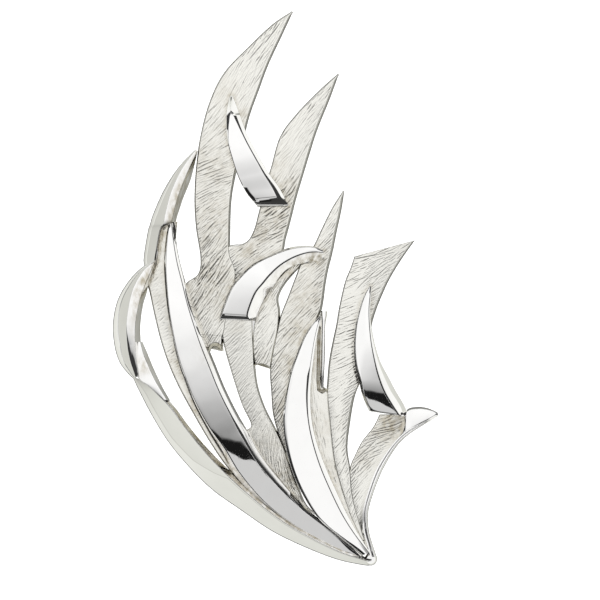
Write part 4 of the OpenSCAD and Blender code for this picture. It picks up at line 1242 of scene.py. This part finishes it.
def add_node(tree, kind, values, **settings):
    """A node with its settings and the values of its inputs."""
    node = tree.nodes.new(kind)
    for key, value in settings.items():
        setattr(node, key, value)
    for key, value in values.items():
        feed(tree, node.inputs[key], value)
    return node


def new_material(name, metallic=1.0):
    """A material, its nodes, its shader and the place on the piece."""
    material = bpy.data.materials.new(name)
    material.use_nodes = True
    tree = material.node_tree
    shader = tree.nodes["Principled BSDF"]
    shader.inputs["Metallic"].default_value = metallic
    return material, tree, shader, tree.nodes.new("ShaderNodeTexCoord").outputs["Object"]


def noise(tree, place, scale, detail, stretch=(1, 1, 1), turn=0):
    """Noise on the piece's own place, in features of 1 / scale metres."""
    mapped = add_node(tree, "ShaderNodeMapping", {
        "Vector": place, "Scale": stretch, "Rotation": (0, 0, math.radians(turn))})
    values = {"Vector": mapped.outputs["Vector"], "Scale": scale, "Detail": detail}
    return add_node(tree, "ShaderNodeTexNoise", values).outputs["Fac"]


def spread(tree, value, source, target):
    """A value moved from one range to another, and kept inside it."""
    return add_node(tree, "ShaderNodeMapRange", {
        "Value": value, "From Min": source[0], "From Max": source[1], "To Min": target[0],
        "To Max": target[1]}).outputs["Result"]


def maths(tree, operation, *values):
    return add_node(tree, "ShaderNodeMath", dict(enumerate(values)), operation=operation).outputs[0]


def blend(tree, factor, *colours):
    """A mix of two colours, each an output or three shares."""
    a, b = (tone if isinstance(tone, bpy.types.NodeSocket) else (*tone, 1) for tone in colours)
    return add_node(tree, "ShaderNodeMix", {"Factor": factor, 6: a, 7: b}, data_type="RGBA").outputs[2]


def clouded(tree, factor, colour, share):
    """A colour with clouds that are darker by a share."""
    return blend(tree, factor, colour, [part * share for part in colour])


def mesh_value(tree, name):
    return add_node(tree, "ShaderNodeAttribute", {}, attribute_name=name).outputs["Fac"]


def bump(tree, shader, height, strength, distance):
    node = add_node(tree, "ShaderNodeBump", {"Strength": strength, "Distance": distance, "Height": height})
    feed(tree, shader.inputs["Normal"], node.outputs["Normal"])


def polished_silver():
    """Bright polished silver with faint handling marks."""
    material, tree, shader, place = new_material("mirror_silver")
    colours = bpy.context.scene.brooch_finish
    cloud = spread(tree, noise(tree, place, *POLISH_CLOUDS), MIDDLE, (0, 1))
    tone = clouded(tree, cloud, colours.polished, POLISH_CLOUD)
    spots = noise(tree, place, *POLISH_SPOTS, stretch=(1, 0.5, 1), turn=MARKS_TURN)
    stain_and_shade_mix = maths(tree, "MULTIPLY", mesh_value(tree, "stain_and_shade"), spread(tree, spots, *POLISH_TARNISH))
    feed(tree, shader.inputs["Base Color"], blend(tree, stain_and_shade_mix, tone, colours.tarnish_and_shade))
    marks = noise(tree, place, *POLISH_MARKS, stretch=(1, 0.15, 1), turn=MARKS_TURN)
    rough = spread(tree, marks, ROUGH_MARKS, MIRROR_ROUGH)
    feed(tree, shader.inputs["Roughness"], maths(tree, "MULTIPLY_ADD", stain_and_shade_mix, STAIN_ROUGH, rough))
    bump(tree, shader, noise(tree, place, *POLISH_WAVES), *POLISH_RELIEF)
    return material


def cut_silver():
    """Textured silver: bright on the ridges, tarnished in the cuts and in the recesses, and darkened with
    painted shade where the mesh marks it.
    """
    material, tree, shader, place = new_material("cut_silver")
    colours = bpy.context.scene.brooch_finish
    cloud = spread(tree, noise(tree, place, *CUT_CLOUDS), *CUT_TARNISH)
    # Darkens towards the tarnish colour by the mesh's stain, which is tarnish at most places and painted
    # shade at a few.
    stain_and_shade_mix = maths(tree, "MULTIPLY", mesh_value(tree, "stain_and_shade"), cloud)
    ground = blend(tree, stain_and_shade_mix, colours.cut, colours.tarnish_and_shade)
    # The cut depth also carries the painted shadow of the slot strip's groove.
    in_cut = spread(tree, mesh_value(tree, "cut_depth"), CUT_DEPTH, CUT_DARK)
    feed(tree, shader.inputs["Base Color"], blend(tree, in_cut, ground, colours.line))
    rough = spread(tree, noise(tree, place, *CUT_GRAIN), MIDDLE, CUT_ROUGH)
    feed(tree, shader.inputs["Roughness"], rough)
    bump(tree, shader, noise(tree, place, *CUT_PORES), *CUT_RELIEF)
    return material


def magnet_plating():
    """Satin nickel with fine turning marks."""
    material, tree, shader, place = new_material("satin_nickel")
    cloud = spread(tree, noise(tree, place, *PLATING_CLOUDS), MIDDLE, (0, 1))
    tone = clouded(tree, cloud, bpy.context.scene.brooch_finish.plating, PLATING_CLOUD)
    feed(tree, shader.inputs["Base Color"], tone)
    marks = noise(tree, place, *PLATING_MARKS, stretch=(1, 0.05, 1))
    feed(tree, shader.inputs["Roughness"], spread(tree, marks, MIDDLE, NICKEL_ROUGH))
    bump(tree, shader, marks, *PLATING_RELIEF)
    return material


def paper_material(colour):
    """Matt white paper."""
    material, tree, shader, place = new_material("white_paper", metallic=0.0)
    shader.inputs["Roughness"].default_value = PAPER_ROUGH
    tone = clouded(tree, noise(tree, place, *PAPER_GRAIN), colour, PAPER_CLOUD)
    feed(tree, shader.inputs["Base Color"], tone)
    return material


def finish(name):
    """One of the finishes by name, made when it is first used."""
    makers = {"mirror_silver": polished_silver, "cut_silver": cut_silver, "satin_nickel": magnet_plating}
    return bpy.data.materials.get(name) or makers[name]()


# Stage

# Brightness of the light tent by height: the upward part of a direction, then its colour
TENT = (
    (-1.00, (0.08, 0.08, 0.08)), (-0.92, (0.17, 0.17, 0.16)), (-0.85, (0.31, 0.31, 0.285)),
    (-0.75, (0.43, 0.43, 0.40)), (-0.60, (0.50, 0.50, 0.465)), (-0.45, (0.58, 0.585, 0.545)),
    (-0.25, (0.68, 0.685, 0.645)), (-0.10, (0.80, 0.80, 0.775)), (0.05, (0.84, 0.84, 0.82)),
    (0.12, (0.78, 0.78, 0.77)), (0.17, (0.04, 0.04, 0.04)), (0.65, (0.03, 0.03, 0.03)))
# The tent's roof from front to back: a dark gap, then a fading white sheet
ROOF = (
    (-0.213, 0.01), (-0.205, 0.29), (-0.18, 0.37), (-0.15, 0.47), (-0.11, 0.63), (-0.07, 0.76), (-0.03, 0.90),
    (0.0, 0.97), (0.05, 1.03), (0.10, 1.06))
# White sheets across the roof, from left to right, as far forward as their front edge
SHEETS = ((-1.0, 0), (0.08, 0), (0.12, 1), (0.36, 1), (0.40, 0), (0.56, 0), (0.60, 1))
SHEET_TONE = 1.02
SHEET_FRONT = -0.285
# Grey cards before the dark gap, from left to right, and the nearest and farthest reach of both
CARDS = ((-0.17, 0), (-0.16, 1), (0.12, 1), (0.13, 0), (0.41, 0), (0.42, 1), (0.64, 1), (0.65, 0))
CARD_TONE = 0.64
CARD_REACH = (-0.72, -0.285)
RING_TOP = (0.68, 0.70)
# In metres: the edge of the paper, how far it lies under the brooch, and the heights of lamp and camera
PAPER_SIZE = 0.8
PAPER_GAP = 0.00002
LAMP_HEIGHT = 0.4
CAMERA_HEIGHT = 0.3
CAMERA_CLIP = (0.01, 5)


def ramp(tree, value, stops):
    """A colour that changes with one part of a direction, from stops of (part, colour)."""
    node = add_node(tree, "ShaderNodeValToRGB", {"Fac": spread(tree, value, (-1, 1), (0, 1))})
    elements = node.color_ramp.elements
    while len(elements) < len(stops):
        elements.new(0.5)
    for element, (part, colour) in zip(elements, stops):
        element.position = (part + 1) / 2
        element.color = (*colour, 1)
    return node.outputs["Color"]


def grey_ramp(tree, value, stops, strength=1):
    return ramp(tree, value, [(part, [tone / strength] * 3) for part, tone in stops])


def light_tent(strength):
    """A white light tent with a dark band round it and a roof of sheets with a dark gap."""
    world = bpy.data.worlds.new("light_tent")
    world.use_nodes = True
    bpy.context.scene.world = world
    tree = world.node_tree
    direction = tree.nodes.new("ShaderNodeTexCoord").outputs["Generated"]
    side, front, up = add_node(tree, "ShaderNodeSeparateXYZ", {0: direction}).outputs
    roof = grey_ramp(tree, front, ROOF, strength)
    in_front = maths(tree, "GREATER_THAN", front, SHEET_FRONT)
    sheets = maths(tree, "MULTIPLY", grey_ramp(tree, side, SHEETS), in_front)
    roof = blend(tree, sheets, roof, [SHEET_TONE / strength] * 3)
    cards = grey_ramp(tree, side, CARDS)
    cards = maths(tree, "MULTIPLY", cards, maths(tree, "GREATER_THAN", front, CARD_REACH[0]))
    cards = maths(tree, "MULTIPLY", cards, maths(tree, "LESS_THAN", front, CARD_REACH[1]))
    roof = blend(tree, cards, roof, [CARD_TONE / strength] * 3)
    light = blend(tree, spread(tree, up, RING_TOP, (0, 1)), ramp(tree, up, TENT), roof)
    background = tree.nodes["Background"]
    background.inputs["Strength"].default_value = strength
    feed(tree, background.inputs["Color"], light)


class BROOCH_OT_stage(bpy.types.Operator):
    """Make the paper, the light tent, the lamp and the camera"""
    bl_idname = "brooch.stage"
    bl_label = "Stage"

    def execute(self, context):
        stage = context.scene.brooch_stage
        x, y, _ = in_model(*VIEW_MIDDLE, 0)
        low, _ = CAD_BOX
        deselect()
        bpy.ops.mesh.primitive_plane_add(size=PAPER_SIZE, location=(x, y, low.z - PAPER_GAP))
        paper = context.object
        paper.name = "paper"
        paper.data.materials.append(paper_material(stage.paper))
        paper.visible_glossy = False
        light_tent(stage.sky)
        bpy.ops.object.light_add(type="SUN", location=(x, y, LAMP_HEIGHT), rotation=(0, 0, 0))
        lamp = context.object
        lamp.name = "paper_lamp"
        lamp.data.energy = stage.lamp
        lamp.visible_glossy = False
        bpy.ops.object.camera_add(location=(x, y, CAMERA_HEIGHT), rotation=(0, 0, 0))
        camera = context.object
        camera.name = "front_camera"
        camera.data.type = "ORTHO"
        camera.data.ortho_scale = stage.view_width
        camera.data.clip_start, camera.data.clip_end = CAMERA_CLIP
        context.scene.camera = camera
        context.scene.view_settings.view_transform = "Standard"
        return {"FINISHED"}


# Operators


def settle_polished(piece):
    settle(piece, finish("mirror_silver"))


def make_plates(names):
    edges = polished_edges()
    for name in names:
        settle(make_plate(name, PLATES[name], edges), finish("cut_silver"), angle=60)


def make_ridges(names):
    for name in names:
        settle_polished(make_ridge(name, RIDGES[name]))


class BROOCH_OT_plumes(bpy.types.Operator):
    """Make the four textured plumes"""
    bl_idname = "brooch.plumes"
    bl_label = "Plumes"

    def execute(self, context):
        make_plates(("plume_1", "plume_2", "plume_3", "plume_4"))
        return {"FINISHED"}


class BROOCH_OT_leaves(bpy.types.Operator):
    """Make the textured leaves between the crests and at the lower right"""
    bl_idname = "brooch.leaves"
    bl_label = "Leaves"

    def execute(self, context):
        make_plates(("leaf_left", "leaf_middle", "tail_leaf"))
        return {"FINISHED"}


class BROOCH_OT_strips(bpy.types.Operator):
    """Make the two narrow textured strips beside the crests"""
    bl_idname = "brooch.strips"
    bl_label = "Strips"

    def execute(self, context):
        make_plates(("left_strip", "slot_strip"))
        return {"FINISHED"}


class BROOCH_OT_crescents(bpy.types.Operator):
    """Make the three short polished crescents"""
    bl_idname = "brooch.crescents"
    bl_label = "Crescents"

    def execute(self, context):
        make_ridges(("crescent_a", "crescent_b", "crescent_c"))
        return {"FINISHED"}


class BROOCH_OT_crests(bpy.types.Operator):
    """Make the two long polished crests"""
    bl_idname = "brooch.crests"
    bl_label = "Crests"

    def execute(self, context):
        make_ridges(("long_crest", "short_crest"))
        return {"FINISHED"}


class BROOCH_OT_rims(bpy.types.Operator):
    """Make the outer rims, the spur and the fin"""
    bl_idname = "brooch.rims"
    bl_label = "Rims and fin"

    def execute(self, context):
        for name, spec in RIMS.items():
            settle_polished(make_rim(name, spec))
        make_ridges(("rim_spur", "slot_ledge", "fin"))
        settle_polished(make_right_rim("right_rim", RIGHT_RIM))
        return {"FINISHED"}


class BROOCH_OT_back(bpy.types.Operator):
    """Make the foot nub, the magnet seat and the magnet bar"""
    bl_idname = "brooch.back"
    bl_label = "Foot and magnet"

    def execute(self, context):
        low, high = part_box("magnet_clasp")
        length = high.y - low.y
        seat_low, seat_high = high.z + GLUE_GAP, casting().dome_height + SEAT_LET_IN
        settle_polished(make_nub())
        settle_polished(make_bar("magnet_seat", seat_low, seat_high, length, SEAT_ROUND))
        magnet = make_bar("magnet_bar", low.z, high.z, length, MAGNET_ROUND)
        settle(magnet, finish("satin_nickel"), node="magnet_clasp")
        return {"FINISHED"}


class BROOCH_PT_panel(bpy.types.Panel):
    """Lists the brooch's sizes, finishes and pieces"""
    bl_idname = "BROOCH_PT_panel"
    bl_label = "Magnetic brooch"
    bl_space_type = "VIEW_3D"
    bl_region_type = "UI"
    bl_category = "Brooch"

    def draw(self, context):
        for name in GROUPS:
            group = getattr(context.scene, name)
            box = self.layout.box()
            for key in group.__annotations__:
                box.prop(group, key)
        for operator in OPERATORS:
            self.layout.operator(operator.bl_idname)


GROUPS = {"brooch_casting": BroochCasting, "brooch_cuts": BroochCuts, "brooch_finish": BroochFinish,
          "brooch_stage": BroochStage}
OPERATORS = (BROOCH_OT_stage, BROOCH_OT_plumes, BROOCH_OT_leaves, BROOCH_OT_strips, BROOCH_OT_crescents,
             BROOCH_OT_crests, BROOCH_OT_rims, BROOCH_OT_back)


def register():
    for group in GROUPS.values():
        bpy.utils.register_class(group)
    for name, group in GROUPS.items():
        setattr(bpy.types.Scene, name, PointerProperty(type=group))
    for operator in OPERATORS:
        bpy.utils.register_class(operator)
    bpy.utils.register_class(BROOCH_PT_panel)


def unregister():
    bpy.utils.unregister_class(BROOCH_PT_panel)
    for operator in reversed(OPERATORS):
        bpy.utils.unregister_class(operator)
    for name, group in reversed(GROUPS.items()):
        delattr(bpy.types.Scene, name)
        bpy.utils.unregister_class(group)


def main():
    register()
    bpy.ops.brooch.stage()
    bpy.ops.brooch.plumes()
    bpy.ops.brooch.leaves()
    bpy.ops.brooch.strips()
    bpy.ops.brooch.crescents()
    bpy.ops.brooch.crests()
    bpy.ops.brooch.rims()
    bpy.ops.brooch.back()


if __name__ == "__main__":
    main()
